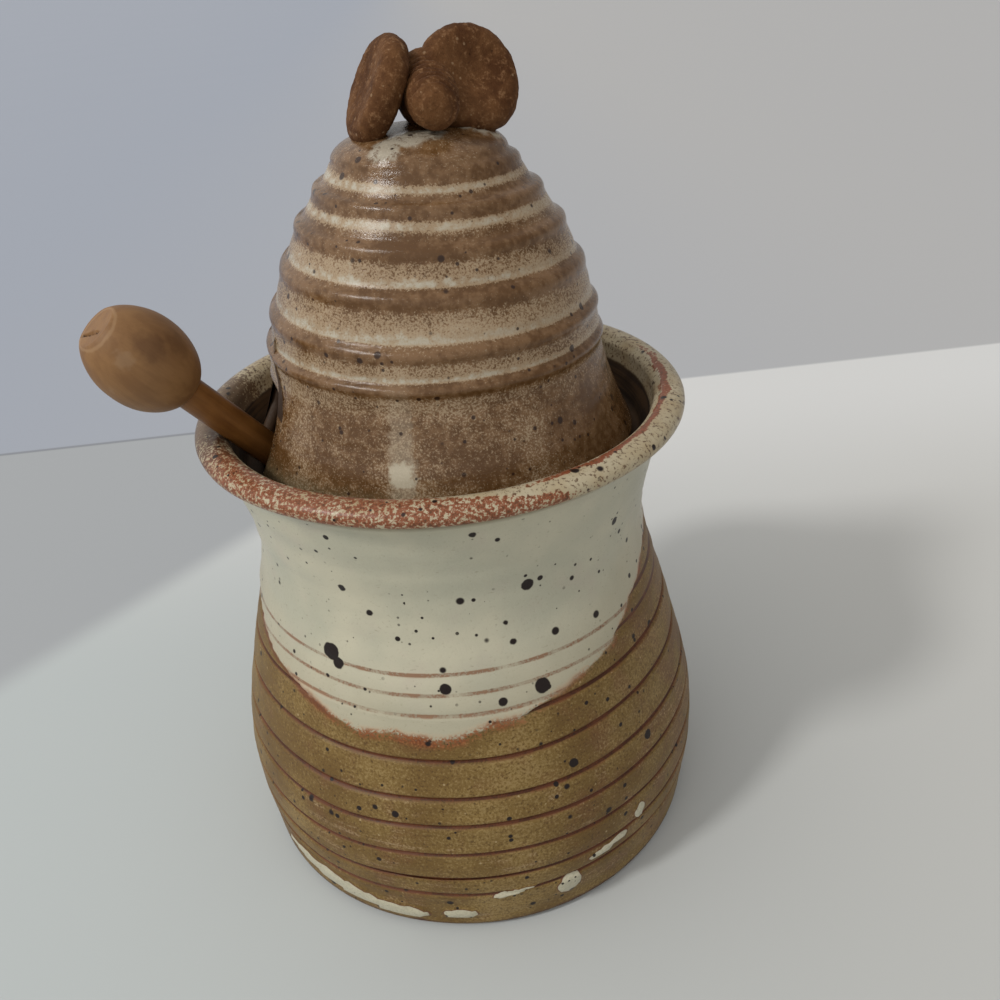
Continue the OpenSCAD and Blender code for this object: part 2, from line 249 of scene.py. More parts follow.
# %% Finishes and shapes
class Finish(Bench):
    """A material with one shader, whose places are in millimetres."""

    def __init__(self, name, ior=1.5, specular=0.5):
        self.material = bpy.data.materials.new(name)
        self.material.use_nodes = True
        self.material.node_tree.nodes.clear()
        super().__init__(self.material.node_tree)
        sockets = {"IOR": ior, "Specular IOR Level": specular}
        self.shader = self.node("ShaderNodeBsdfPrincipled", None, sockets)
        output = self.node("ShaderNodeOutputMaterial")
        self.tree.links.new(self.shader.outputs[0], output.inputs[0])
        self.place = self.scaled(self.get("ShaderNodeTexCoord", output="Object"), 1 / MM)

    def mark(self, name):
        return self.get("ShaderNodeAttribute", {"attribute_name": name}, output="Fac")

    def done(self, colour, roughness, relief, depth):
        """Links the colour and roughness, and raises a fine relief of some millimetres on the surface."""
        self.feed(self.shader.inputs["Base Color"], colour)
        self.feed(self.shader.inputs["Roughness"], roughness)
        sockets = {"Height": relief, "Distance": depth * MM, "Strength": 1.0}
        self.feed(self.shader.inputs["Normal"], self.get("ShaderNodeBump", None, sockets))
        return self.material


class Shape(Bench):
    """A Geometry Nodes tree with a named input for each of its sizes."""

    def __init__(self, name, **sizes):
        tree = bpy.data.node_groups.new(name, "GeometryNodeTree")
        super().__init__(tree)
        self.sizes = sizes
        tree.interface.new_socket("Geometry", in_out="INPUT", socket_type="NodeSocketGeometry")
        for size in sizes:
            tree.interface.new_socket(size, in_out="INPUT", socket_type="NodeSocketFloat")
        tree.interface.new_socket("Geometry", in_out="OUTPUT", socket_type="NodeSocketGeometry")
        inputs = self.node("NodeGroupInput")
        self.blank = self.value(inputs, "Geometry")
        self.given = {size: self.value(inputs, size) for size in sizes}
        self.place = self.scaled(self.get("GeometryNodeInputPosition"), 1 / MM)

    def mark(self, name):
        return self.get("GeometryNodeInputNamedAttribute", {"data_type": "FLOAT"}, {"Name": name})

    def done(self, geometry, material):
        """Ends the tree: instances are made real and the material is set."""
        real = self.get("GeometryNodeRealizeInstances", None, {"Geometry": geometry})
        dressed = self.get("GeometryNodeSetMaterial", None, {"Geometry": real, "Material": material})
        self.node("NodeGroupOutput", None, {"Geometry": dressed})

    def swell(self, amount, material, drift=(0.0, 0.0, 0.0)):
        """Pushes the surface out along its normals, moves it by drift and ends the tree. In millimetres."""
        outward = self.get("GeometryNodeInputNormal")
        offset = self.scaled(self.vector("MULTIPLY_ADD", outward, self.spread(amount), drift), MM)
        sockets = {"Geometry": self.blank, "Offset": offset}
        self.done(self.get("GeometryNodeSetPosition", None, sockets), material)

    def spread(self, *parts):
        """One value on all three axes, or three values as a vector."""
        three = parts if len(parts) == 3 else parts * 3
        return self.get("ShaderNodeCombineXYZ", None, dict(enumerate(three)))

    def apply(self, piece):
        """Runs the tree on a blank and keeps the result as the blank's own plain mesh."""
        modifier = piece.modifiers.new("shape", "NODES")
        modifier.node_group = self.tree
        for item in self.tree.interface.items_tree:
            if item.in_out == "INPUT" and item.name in self.sizes:
                modifier[item.identifier] = self.sizes[item.name]
        graph = bpy.context.evaluated_depsgraph_get()
        mesh = bpy.data.meshes.new_from_object(piece.evaluated_get(graph))
        piece.modifiers.clear()
        piece.data = mesh
        mesh.polygons.foreach_set("use_smooth", [True] * len(mesh.polygons))
        print(piece.name, "has", len(mesh.polygons), "faces")
        return piece


# %% [markdown]
# ## Turned blanks
# The jar and the lid were thrown on a wheel and the dipper was turned on a lathe, so each starts as an
# outline that is swept round an axis, from the axis to the axis. It goes up the outside of the jar and down
# its inside, and the other way round for the lid, so that every face points away from the clay.

# %% Turned blanks
def outline_radius(keys, heights):
    """Radius of a smooth outline through (radius, height) keys, at each of the heights."""
    radii, levels = np.array(keys, float).T
    slopes = np.empty(len(levels))
    slopes[1:-1] = (radii[2:] - radii[:-2]) / (levels[2:] - levels[:-2])
    slopes[0] = (radii[1] - radii[0]) / (levels[1] - levels[0])
    slopes[-1] = (radii[-1] - radii[-2]) / (levels[-1] - levels[-2])
    heights = np.asarray(heights, float)
    index = np.clip(np.searchsorted(levels, heights, side="right") - 1, 0, len(levels) - 2)
    rise = levels[index + 1] - levels[index]
    t = (heights - levels[index]) / rise
    start = radii[index] * (2 * t**3 - 3 * t**2 + 1) + rise * slopes[index] * (t**3 - 2 * t**2 + t)
    return start + radii[index + 1] * (3 * t**2 - 2 * t**3) + rise * slopes[index + 1] * (t**3 - t**2)


def arc(middle, radius, start, stop, steps):
    """Points of an arc in an outline, from one angle in degrees to another. An oval has a pair of radii."""
    wide, tall = radius if isinstance(radius, tuple) else (radius, radius)
    angles = np.radians(np.linspace(start, stop, steps))
    return [(middle[0] + wide * math.cos(a), middle[1] + tall * math.sin(a)) for a in angles]


def swept(name, columns):
    """A closed piece from columns of points in millimetres, which all start and end at the same two poles."""
    points = np.array(columns, float)
    count, rows = points.shape[0], points.shape[1] - 2
    vertices = np.concatenate([points[:, 1:-1].reshape(-1, 3), points[0, [0, -1]]]) * MM
    first_pole, last_pole = count * rows, count * rows + 1
    faces = []
    for column in range(count):
        here, there = column * rows, (column + 1) % count * rows
        faces += [(here + row, there + row, there + row + 1, here + row + 1) for row in range(rows - 1)]
        faces += [(first_pole, there, here), (here + rows - 1, there + rows - 1, last_pole)]
    mesh = bpy.data.meshes.new(name)
    mesh.from_pydata(vertices.tolist(), [], faces)
    mesh.polygons.foreach_set("use_smooth", [True] * len(mesh.polygons))
    piece = bpy.data.objects.new(name, mesh)
    bpy.context.scene.collection.objects.link(piece)
    return piece


def turned(name, outline, count):
    """A piece turned about +Z from an outline of (radius, height) points."""
    angles = [math.tau * step / count for step in range(count)]
    columns = [[(r * math.cos(a), r * math.sin(a), z) for r, z in outline] for a in angles]
    return swept(name, columns)


def mark_outside(piece, middle_height):
    """Marks each point with how far it looks away from the middle of the pot: 1 outside and 0 inside."""
    mesh = piece.data
    points = np.empty(len(mesh.vertices) * 3)
    normals = np.empty(len(mesh.vertices) * 3)
    mesh.vertices.foreach_get("co", points)
    mesh.vertices.foreach_get("normal", normals)
    away = points.reshape(-1, 3) / MM - (0, 0, middle_height)
    facing = (away * normals.reshape(-1, 3)).sum(1) / np.linalg.norm(away, axis=1)
    mark = mesh.attributes.new("outside", "FLOAT", "POINT")
    mark.data.foreach_set("value", np.clip(facing * 4 + 0.5, 0, 1))


# %% [markdown]
# ## The jar's blank
# The wall is one smooth curve from the heel over the belly to the neck. The lip was rolled outward and
# pressed a little flat, so it is an oval bead, and inside it a gallery was pressed in to carry the lid. The
# outline has closer points where the grooves will be cut, because a groove is narrow.

# %% The jar's outline
FOOT_RADIUS = 51.2
WALL_KEYS = [
    (52.4, 1.4), (54.0, 18.2), (53.1, 31.8), (48.5, 50.0),
    (44.6, 63.6), (41.8, 78.8), (45.0, 96.0), (46.9, 99.5),
]
WALL_TOP = 99.2
WALL_THICKNESS = 3.8
FLOOR_HEIGHT = 6.0
FLOOR_ROUND = 8.0
LIP_RING = 46.9
LIP_ROLL = 3.0
LIP_HEIGHT = 101.3
LIP_PRESSED = (3.0, 2.15)
LEDGE_HEIGHT = 94.0
LEDGE_DEPTH = 3.5
GALLERY_RADIUS = 41.2
MOUTH_RADIUS = 38.4
CUT_GROOVES = [12.0, 17.6, 24.9, 32.3, 38.7, 46.9, 55.0]
TAN_GROOVES = [61.7, 66.0, 71.5, 77.0]
WHITE_LINES = [56.6, 60.8, 65.0]
GROOVE_STEPS = [-1.4, -0.9, -0.55, -0.3, -0.1, 0.1, 0.3, 0.55, 0.9, 1.4]
JAR_COLUMNS = 320


def jar_outline():
    near_grooves = np.concatenate([level + np.array(GROOVE_STEPS) for level in CUT_GROOVES])
    levels = np.sort(np.concatenate([np.linspace(WALL_KEYS[0][1], WALL_TOP, 97), near_grooves]))
    foot = [(FOOT_RADIUS * share, 0.0) for share in (0.0, 0.5, 0.9, 0.98, 1.0)]
    wall = list(zip(outline_radius(WALL_KEYS, levels), levels))
    lip = arc((LIP_RING, LIP_HEIGHT + LIP_ROLL - LIP_PRESSED[1]), LIP_PRESSED, -72, 186, 26)
    lean = LIP_RING - LIP_ROLL - GALLERY_RADIUS
    rise = np.linspace(0.9, 0.04, 9)
    gallery = [(GALLERY_RADIUS + lean * share, LEDGE_HEIGHT + 7 * share) for share in rise]
    ledge = [(GALLERY_RADIUS - 0.5, LEDGE_HEIGHT), (MOUTH_RADIUS + 0.6, LEDGE_HEIGHT)]
    mouth = [(MOUTH_RADIUS, LEDGE_HEIGHT - share * LEDGE_DEPTH) for share in (0.15, 0.5, 1.0)]
    low = FLOOR_HEIGHT + FLOOR_ROUND
    inner_levels = np.linspace(LEDGE_HEIGHT - 2 * LEDGE_DEPTH, low, 40)
    inner = list(zip(outline_radius(WALL_KEYS, inner_levels) - WALL_THICKNESS, inner_levels))
    corner = (inner[-1][0] - FLOOR_ROUND, low)
    floor = arc(corner, FLOOR_ROUND, -9, -90, 9)
    middle = [(corner[0] * share, FLOOR_HEIGHT) for share in (0.66, 0.33, 0.0)]
    return foot + wall + lip + gallery + ledge + mouth + inner + floor + middle


jar = turned("jar_thrown", jar_outline(), JAR_COLUMNS)
mark_outside(jar, 50.0)
print("the jar's outline has", len(jar_outline()), "points")

# %% [markdown]
# ## Where the jar's features lie
# The pot was dipped upside down in white glaze, a little aslant, so the white ends in a slanting line. Lines
# were cut round the wall with a tool. Drops of white ran to the foot. The shape and the glaze both need to
# know where these lie, so `JarMap` works them out once for either kind of tree. Turns are in degrees from the
# front.

# %% The map of the jar
WHITE_LOW = 51.4
WHITE_SLANT = 22.7
WHITE_LOWEST_AT = math.radians(-16.0)
# Each drop: its turn, its height, half its width, half its height and its slope.
DROPS = [
    (-41.0, 6.9, 15.5, 2.2, -0.13),
    (-24.0, 4.9, 7.5, 1.9, -0.05),
    (-8.0, 5.4, 3.6, 1.7, 0.0),
    (17.8, 9.3, 2.7, 2.9, 0.1),
    (37.8, 19.8, 1.5, 1.7, 0.3),
    (28.0, 15.4, 5.0, 0.9, 0.16),
    (4.5, 11.9, 4.4, 0.65, 0.12),
]


class JarMap:
    """Masks of the jar's features, from 0 to 1, for one tree."""

    def __init__(self, bench):
        place = bench.place
        x, y, self.height = axes(place)
        self.radius = bench.maths("SQRT", x * x + y * y)
        self.turn = bench.maths("ARCTAN2", x, -y) * math.degrees(1)
        behind_lip = self.radius - (self.height - 85.0) * 0.2 - 41.5
        gate = most(ease(behind_lip, -0.3, 0.3), ease(self.height, 72.0, 68.0))
        self.outside = bench.mark("outside") * gate
        swing = (x * math.sin(WHITE_LOWEST_AT) - y * math.cos(WHITE_LOWEST_AT)) / self.radius
        ragged = noise(place, 13.0) * 5.0 + noise(place, 1.6) * 1.1
        self.above = self.height - (WHITE_LOW + WHITE_SLANT) + swing * WHITE_SLANT + ragged
        self.white = ease(self.above, -0.3, 0.5) * self.outside
        wander = noise(place, 34.0, detail=0.0) * 2.0
        self.cut = self.rings(CUT_GROOVES, wander, 0.8)
        self.faint = self.rings(TAN_GROOVES, wander, 0.8)
        self.lines = self.rings(WHITE_LINES, wander, 0.7)
        self.drops = most(*[self.drop(bench, *drop) for drop in DROPS]) * self.outside

    def rings(self, levels, wander, reach):
        return most(*[ease(abs(self.height + wander - level), reach, 0.1) for level in levels]) * self.outside

    def drop(self, bench, turn, height, half_width, half_height, slope):
        along = (self.turn - turn) * (self.radius * math.radians(1))
        wide = along / half_width
        high = (self.height - height - along * slope) / half_height
        edge = noise(bench.place, 4.0) * 0.3
        return ease(bench.maths("SQRT", wide * wide + high * high) + edge, 1.16, 0.9)


print(len(CUT_GROOVES + TAN_GROOVES), "grooves and", len(DROPS), "drops")

# %% [markdown]
# ## The jar's glazes
# White over tan is the heart of this pot. Where the white is thick it is cool and quiet. Where it thins, at
# its edge and on the lip, iron from the clay breaks through as rust, and grains of iron melt into dark spots.
# Each of these is a mask, and the masks lay one colour over another in the order of the firing.

# %% The jar's glaze
IRON = (0.010, 0.004, 0.003)
BARE_CLAY = (0.085, 0.034, 0.014)
TAN_SHADES = ((0.130, 0.072, 0.016), (0.200, 0.125, 0.034))
TAN_RED = (0.150, 0.065, 0.026)
TAN_PALE_GRAIN = (0.33, 0.235, 0.100)
TAN_DARK_GRAIN = (0.055, 0.023, 0.006)
TAN_SMUDGE = (0.36, 0.26, 0.15)
TAN_SPECK = (0.40, 0.30, 0.16)
WHITE_SHADES = ((0.418, 0.408, 0.315), (0.505, 0.475, 0.360))
WHITE_PINK = (0.46, 0.385, 0.32)
WHITE_NEAR_EDGE_GREY = (0.375, 0.335, 0.235)
WHITE_GRAIN = (0.24, 0.20, 0.13)
WHITE_FLECK = (0.22, 0.18, 0.12)
RUST_SHADES = ((0.130, 0.030, 0.007), (0.280, 0.100, 0.032))
EDGE_FRINGE = (0.47, 0.33, 0.21)
EDGE_LEFT = (0.130, 0.040, 0.012)
LINE_BROWN = (0.230, 0.150, 0.095)
LINE_RUST = (0.170, 0.060, 0.024)
LINE_BORDER = (0.36, 0.24, 0.15)
GROOVE_DARK = (0.060, 0.016, 0.004)
GROOVE_BORDER = (0.135, 0.040, 0.012)
DROP_SHADES = ((0.39, 0.365, 0.265), (0.48, 0.45, 0.335))
DROP_RIM = (0.115, 0.038, 0.014)
JAR_INSIDES = ((0.022, 0.010, 0.003), (0.070, 0.036, 0.013))
LIP_CREAMS = ((0.445, 0.385, 0.265), (0.370, 0.285, 0.165))
LIP_RUSTS = ((0.165, 0.036, 0.013), (0.250, 0.080, 0.034))
LIP_DARK = (0.085, 0.040, 0.017)
LIP_SPECK = (0.030, 0.012, 0.008)
# Each iron spot: its turn, its height and its radius.
IRON_SPOTS = [
    (-37.0, 66.3, 1.9), (-34.8, 64.4, 1.3), (-6.4, 61.8, 1.2), (17.2, 59.1, 1.6), (16.9, 80.7, 1.25),
    (7.0, 58.0, 0.9), (21.5, 41.1, 1.0), (43.8, 36.4, 1.1), (-31.6, 81.6, 0.85), (-24.7, 76.8, 0.7),
    (11.6, 69.5, 0.7), (45.4, 86.1, 0.9), (10.2, 73.6, 0.5), (-20.0, 34.8, 0.8), (-24.7, 35.5, 0.6),
    (3.6, 96.0, 0.7),
]


def jar_glaze():
    finish = Finish("jar_glaze", specular=0.3)
    place = finish.place
    jar = JarMap(finish)
    cloud = noise(place, 16.0, detail=3.0)
    grain = noise(place, 0.5, detail=3.0, roughness=0.65, shift=3.0)
    patchy = noise(place, 7.0, detail=3.0, shift=5.0)
    throwing = noise(place, (26.0, 26.0, 0.8), shift=2.0)

    to_right = ease(jar.turn, 5.0, 70.0)
    smudge = ease(throwing + grain, 0.04, 0.3) * ease(patchy + to_right * 0.12, 0.02, 0.16)
    tan = lay(
        fade(cloud + throwing * 0.2, -0.22, 0.22, TAN_SHADES),
        (ease(patchy + to_right * 0.2, 0.02, 0.3) * 0.55, TAN_RED),
        (ease(grain + cloud * 0.4, 0.0, 0.16) * 0.5, TAN_PALE_GRAIN),
        (ease(grain, -0.04, -0.18) * 0.65, TAN_DARK_GRAIN),
        (smudge * ease(jar.height, 48.0, 34.0) * 0.5, TAN_SMUDGE),
        (specks(place, 1.8, 0.3, 0.5, 4.0) * 0.7, TAN_SPECK),
    )
    fleck = noise(place, (1.3, 1.3, 0.6), shift=9.0)
    white = lay(
        fade(cloud, -0.2, 0.2, WHITE_SHADES),
        (ease(patchy, 0.0, 0.35) * 0.35, WHITE_PINK),
        # The white is laid darker and greyer within 15 mm above its lower edge.
        (ease(jar.above + patchy * 9.0, 15.0, 0.0) * 0.6, WHITE_NEAR_EDGE_GREY),
        (ease(grain, -0.06, -0.28) * 0.3, WHITE_GRAIN),
        (ease(fleck, 0.17, 0.3) * 0.4, WHITE_FLECK),
    )

    front = ease(abs(jar.turn + 16.0), 50.0, 16.0)
    right = ease(jar.turn, 18.0, 34.0) * ease(patchy, -0.06, 0.12)
    edge = ease(jar.above, -2.2, -0.7) * ease(jar.above, 1.4, 0.2) * ease(grain + patchy * 0.7, -0.1, 0.06)
    fringe = ease(abs(jar.above - 0.4), 1.6, 0.2) * ease(grain + patchy, -0.16, 0.06)
    left_line = ease(abs(jar.above + 0.6), 0.8, 0.2) * ease(jar.turn, -28.0, -42.0)
    in_white = ease(jar.lines, 0.3, 0.8) * jar.white * ease(jar.turn, 75.0, 50.0)
    beside = ease(jar.lines, 0.02, 0.3) * jar.white
    cuts = most(jar.cut, jar.faint)
    bordering = ease(cuts, 0.0, 0.3) * (1 - jar.white)
    surface = lay(
        tan,
        (jar.white, white),
        (fringe * 0.6, EDGE_FRINGE),
        (edge * most(front, right, 0.3), fade(grain, -0.15, 0.2, RUST_SHADES)),
        (left_line * jar.outside * 0.8, EDGE_LEFT),
        (in_white * ease(grain * 0.5 + patchy, -0.3, -0.02) * 0.6, LINE_BROWN),
        (in_white * ease(grain + patchy, -0.04, 0.12) * 0.85, LINE_RUST),
        (beside * ease(grain + patchy, 0.0, 0.14) * 0.4, LINE_BORDER),
        (ease(cuts, 0.3, 0.62) * (1 - jar.white), GROOVE_DARK),
        (bordering * ease(grain + patchy, -0.12, 0.1) * 0.6, GROOVE_BORDER),
        (ease(jar.drops, 0.02, 0.3) * 0.85, DROP_RIM),
        (ease(jar.drops, 0.45, 0.75), fade(grain, -0.2, 0.1, DROP_SHADES)),
        (ease(jar.height + noise(place, 5.0) * 2.0, 2.3, 1.2), BARE_CLAY),
    )
    surface = lay(
        fade(throwing + cloud, -0.15, 0.2, JAR_INSIDES),
        (jar.outside, surface),
        (lip_mask(place, jar), lip_glaze(place, jar, patchy)),
        (iron_spots(place, jar), IRON),
    )
    sheen = ease(most(jar.white, jar.drops), 0.0, 1.0) * -0.17 + 0.5 + (1 - jar.outside) * 0.3
    return finish.done(surface, sheen + grain * 0.3, grain * 0.5 + noise(place, 2.6), 0.08)


def lip_mask(place, jar):
    edge = jar.height + noise(place, 4.0, shift=7.0) * 0.8
    return ease(edge, 99.3, 99.9) * ease(jar.radius, 42.6, 43.6)


def lip_glaze(place, jar, patchy):
    """Rust and cream at the front left, cream with a rusty crest at the right, brown and cream behind."""
    across = jar.radius - LIP_RING
    mottle = noise(place, 0.7, detail=3.0, roughness=0.7, shift=11.0)
    from_edge = across + 2.4 - ease(jar.turn, -14.0, 30.0) * 5.4
    front = ease(from_edge + patchy * 2.0, -0.6, 0.8)
    front = front * ease(jar.turn, -100.0, -62.0) * ease(jar.turn, 44.0, 26.0)
    crest = ease(jar.turn, 2.0, 26.0) * ease(jar.turn, 128.0, 84.0)
    crest = crest * ease(abs(across + 0.9 + patchy * 4.0), 1.5, 0.4)
    rusty = most(front * 0.62, crest * 0.8)
    left = ease(jar.turn, -52.0, -84.0) * ease(jar.turn, -122.0, -98.0)
    behind = ease(abs(jar.turn), 100.0, 130.0) * 0.3
    darker = ease(mottle + most(left * 0.24, behind * 0.1), 0.02, 0.14)
    return lay(
        fade(patchy, -0.2, 0.25, LIP_CREAMS),
        (ease(mottle + rusty * 0.55 - 0.29, -0.04, 0.05), fade(mottle, -0.2, 0.1, LIP_RUSTS)),
        (darker * 0.85, LIP_DARK),
        (specks(place, 2.6, 0.5, 0.4, 8.0), LIP_SPECK),
    )


def iron_spots(place, jar):
    """The large spots one by one, and the small ones by chance."""
    ragged = noise(place, 1.1, shift=6.0) * 0.5
    crowd = ease(noise(place, 9.0), -0.08, 0.1)
    marks = [specks(place, 4.4, 0.95, 0.45, 1.0), specks(place, 2.5, 0.62, 0.5, 2.0)]
    marks.append(specks(place, 1.5, 0.38, 0.5, 3.0) * crowd)
    for turn, height, radius in IRON_SPOTS:
        around = math.radians(turn)
        reach = float(outline_radius(WALL_KEYS, height))
        middle = (reach * math.sin(around), -reach * math.cos(around), height)
        distance = measure("DISTANCE", place, middle) + ragged
        marks.append(ease(distance, radius + 0.15, radius - 0.15))
    return most(*marks) * jar.outside


jar_finish = jar_glaze()
print("the jar's glaze has", len(jar_finish.node_tree.nodes), "nodes")

# %% [markdown]
# ## Shaping the jar
# The blank is too perfect. The tree cuts the grooves, lays the white glaze on as a thin coat, lets the drops
# stand proud, and adds the slight waver of a wall that was pulled up by hand.

# %% Shape the jar
def shape_jar():
    shape = Shape("jar shape", Groove=0.55, Coat=0.22, Drop=0.55, Waver=0.9)
    place, jar = shape.place, JarMap(shape)
    given = shape.given
    cuts = jar.cut * (1 - jar.white) + jar.faint * (1 - jar.white) + jar.lines * jar.white * 0.4
    waver = noise(place, 48.0, detail=1.0) * given["Waver"]
    ripple = noise(place, (60.0, 60.0, 3.2), detail=1.0, shift=4.0) * 0.55
    coat = jar.white * given["Coat"] + ease(jar.drops, 0.2, 0.9) * given["Drop"]
    firm = ease(jar.height, 0.2, 3.0) * jar.outside
    amount = (waver + ripple + coat - cuts * given["Groove"]) * firm
    rings = noise(place, (40.0, 40.0, 1.6), detail=1.0) * (1 - jar.outside) * 0.5
    shape.swell(amount + rings * ease(jar.height, 5.0, 9.0), jar_finish)
    return shape


shape_jar().apply(jar)
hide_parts("jar")
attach(jar, "jar")

# %% [markdown]
# ## The lid's blank
# The lid is a hollow dome that flares to a flange, with an arch cut in its foot for the dipper. Its columns
# run from the inside of the crown down to the foot, round its edge and up the outside. Near the arch they
# crowd together and their feet follow its outline, so that the edge stays round, as a wet sponge leaves it.

# %% The lid's outline and arch
SEAT = LEDGE_HEIGHT
LID_KEYS = [
    (40.5, 0.0), (36.95, 7.98), (33.4, 19.0), (33.0, 24.0), (29.8, 35.1), (24.5, 46.0), (16.4, 56.9),
]
CAP_RADIUS, CAP_FROM = LID_KEYS[-1]
CROWN_HEIGHT = 62.0
LID_WALL = 3.6
CROWN_WALL = LID_WALL * 1.3
NOTCH_AT = math.radians(-171.5)
NOTCH_WIDTH = 22.6
NOTCH_FOOT = 17.0
NOTCH_HEIGHT = 17.2
NOTCH_ROUND = 6.0
NOTCH_REACH = math.radians(30)
NOTCH_SETTLE = 16.0


def lid_radius(height):
    """Outer radius of the lid without its ridges, from the foot to the crown."""
    if height < CAP_FROM:
        return float(outline_radius(LID_KEYS, height))
    share = min(1.0, (height - CAP_FROM) / (CROWN_HEIGHT - CAP_FROM))
    return CAP_RADIUS * math.sqrt(1 - share**2)


def arch_path():
    """Half of the arch, from the lid's foot to the middle of its top: places along the wall and heights."""
    corner = (NOTCH_WIDTH / 2 - NOTCH_ROUND, NOTCH_HEIGHT - NOTCH_ROUND)
    far = NOTCH_REACH * LID_KEYS[0][0]
    foot = [(far + (NOTCH_FOOT / 2 + 1.5 - far) * share, 0.0) for share in np.linspace(0, 1, 12)]
    heel = [(NOTCH_FOOT / 2 + 0.5, 0.3), (NOTCH_FOOT / 2, 1.5)]
    side = [(NOTCH_WIDTH / 2 - 0.2, corner[1] * 0.75)]
    return np.array(foot + heel + side + arc(corner, NOTCH_ROUND, 0, 90, 10) + [(0.0, NOTCH_HEIGHT)])


def edge_of(direction, path):
    """The middle of the wall at its edge, as a direction and a height, and the way that the edge faces."""
    offset = (direction - NOTCH_AT + math.pi) % math.tau - math.pi
    if abs(offset) >= NOTCH_REACH:
        return direction, LID_WALL / 2, (0.0, -1.0)
    steps = np.linalg.norm(np.diff(path, axis=0), axis=1)
    along = np.concatenate([[0], np.cumsum(steps)])
    here = (1 - abs(offset) / NOTCH_REACH) * along[-1]
    before, at, after = [
        np.array([np.interp(here + step, along, path[:, axis]) for axis in (0, 1)]) for step in (-0.8, 0, 0.8)
    ]
    run = (after - before) / np.linalg.norm(after - before)
    sign = math.copysign(1, offset)
    facing = (-sign * run[1], run[0])
    height = at[1] - facing[1] * LID_WALL / 2
    side = sign * at[0] - facing[0] * LID_WALL / 2
    return NOTCH_AT + side / lid_radius(height), height, facing


def lid_columns():
    near = np.linspace(-NOTCH_REACH, NOTCH_REACH, 110, endpoint=False)
    rest = np.linspace(NOTCH_REACH, math.tau - NOTCH_REACH, 240, endpoint=False)
    path = arch_path()
    return [lid_column(NOTCH_AT + offset, path) for offset in np.concatenate([near, rest])]


def lid_column(direction, path):
    """Points of one column, from the inside of the crown round the edge to the outside of the crown."""
    edge_direction, low, facing = edge_of(direction, path)
    half = LID_WALL / 2
    points = []

    def add(radius, height):
        share = min(1.0, max(0.0, (height - low) / NOTCH_SETTLE))
        turn = direction + (edge_direction - direction) * (1 - share) ** 2 * (1 + 2 * share)
        points.append((radius * math.cos(turn), radius * math.sin(turn), SEAT + height))

    high = CAP_FROM - CROWN_WALL
    inner_top = CROWN_HEIGHT - CROWN_WALL
    points.append((0, 0, SEAT + inner_top))
    for angle in np.radians(np.linspace(84, 0, 7)):
        add((lid_radius(high) - LID_WALL) * math.cos(angle), high + (inner_top - high) * math.sin(angle))
    for height in np.linspace(high, low, 28)[1:]:
        add(lid_radius(height) - LID_WALL, height)
    middle = lid_radius(low) - half
    for angle in np.radians(np.linspace(200, 340, 8)):
        bulge = -math.sin(angle) * half
        turn = edge_direction + facing[0] * bulge / middle
        radius = middle + half * math.cos(angle)
        points.append((radius * math.cos(turn), radius * math.sin(turn), SEAT + low + facing[1] * bulge))
    for height in np.linspace(low, CAP_FROM, 128):
        add(lid_radius(height), height)
    for angle in np.radians(np.linspace(0, 87, 20))[1:]:
        add(CAP_RADIUS * math.cos(angle), CAP_FROM + (CROWN_HEIGHT - CAP_FROM) * math.sin(angle))
    points.append((0, 0, SEAT + CROWN_HEIGHT))
    return points


lid = swept("lid_thrown", lid_columns())
mark_outside(lid, 115.0)
print("the lid's blank has", len(lid.data.vertices), "points")

# %% [markdown]
# ## The hive's ridges
# The lid imitates a hive of coiled straw. One finger pressed on the turning clay made its ridges, so they are
# one long spiral. A curve turns height into turns of that spiral, and the fraction of a turn says where a
# point lies between one crest and the next. The same fraction places the glaze, which runs off the crests.

# %% The map of the lid
CRESTS = [151.5, 145.5, 139.4, 132.1, 123.5, 117.7, 111.5]
CURVE_LOW, CURVE_HIGH = 108.0, 156.0
RIDGE_PROFILE = [
    (0.0, 1.0), (0.1, 0.85), (0.22, 0.45), (0.4, 0.25), (0.6, 0.12),
    (0.72, 0.05), (0.82, 0.25), (0.92, 0.8), (1.0, 1.0),
]
WING_LEFT_AT = Vector((-5.5, -1.6, 161.7))
WING_RIGHT_AT = Vector((11.1, 1.4, 162.2))
# Each pool of glaze round the bee: its middle and its radius.
CAP_POOLS = [
    ((-4.8, -12.4, 153.6), 3.2), ((-1.2, -10.4, 154.8), 3.8), ((3.0, -9.2, 155.2), 2.8),
    ((9.2, -4.0, 155.1), 1.7), ((12.0, -4.8, 154.3), 1.7), ((14.3, -4.3, 153.5), 1.3),
]


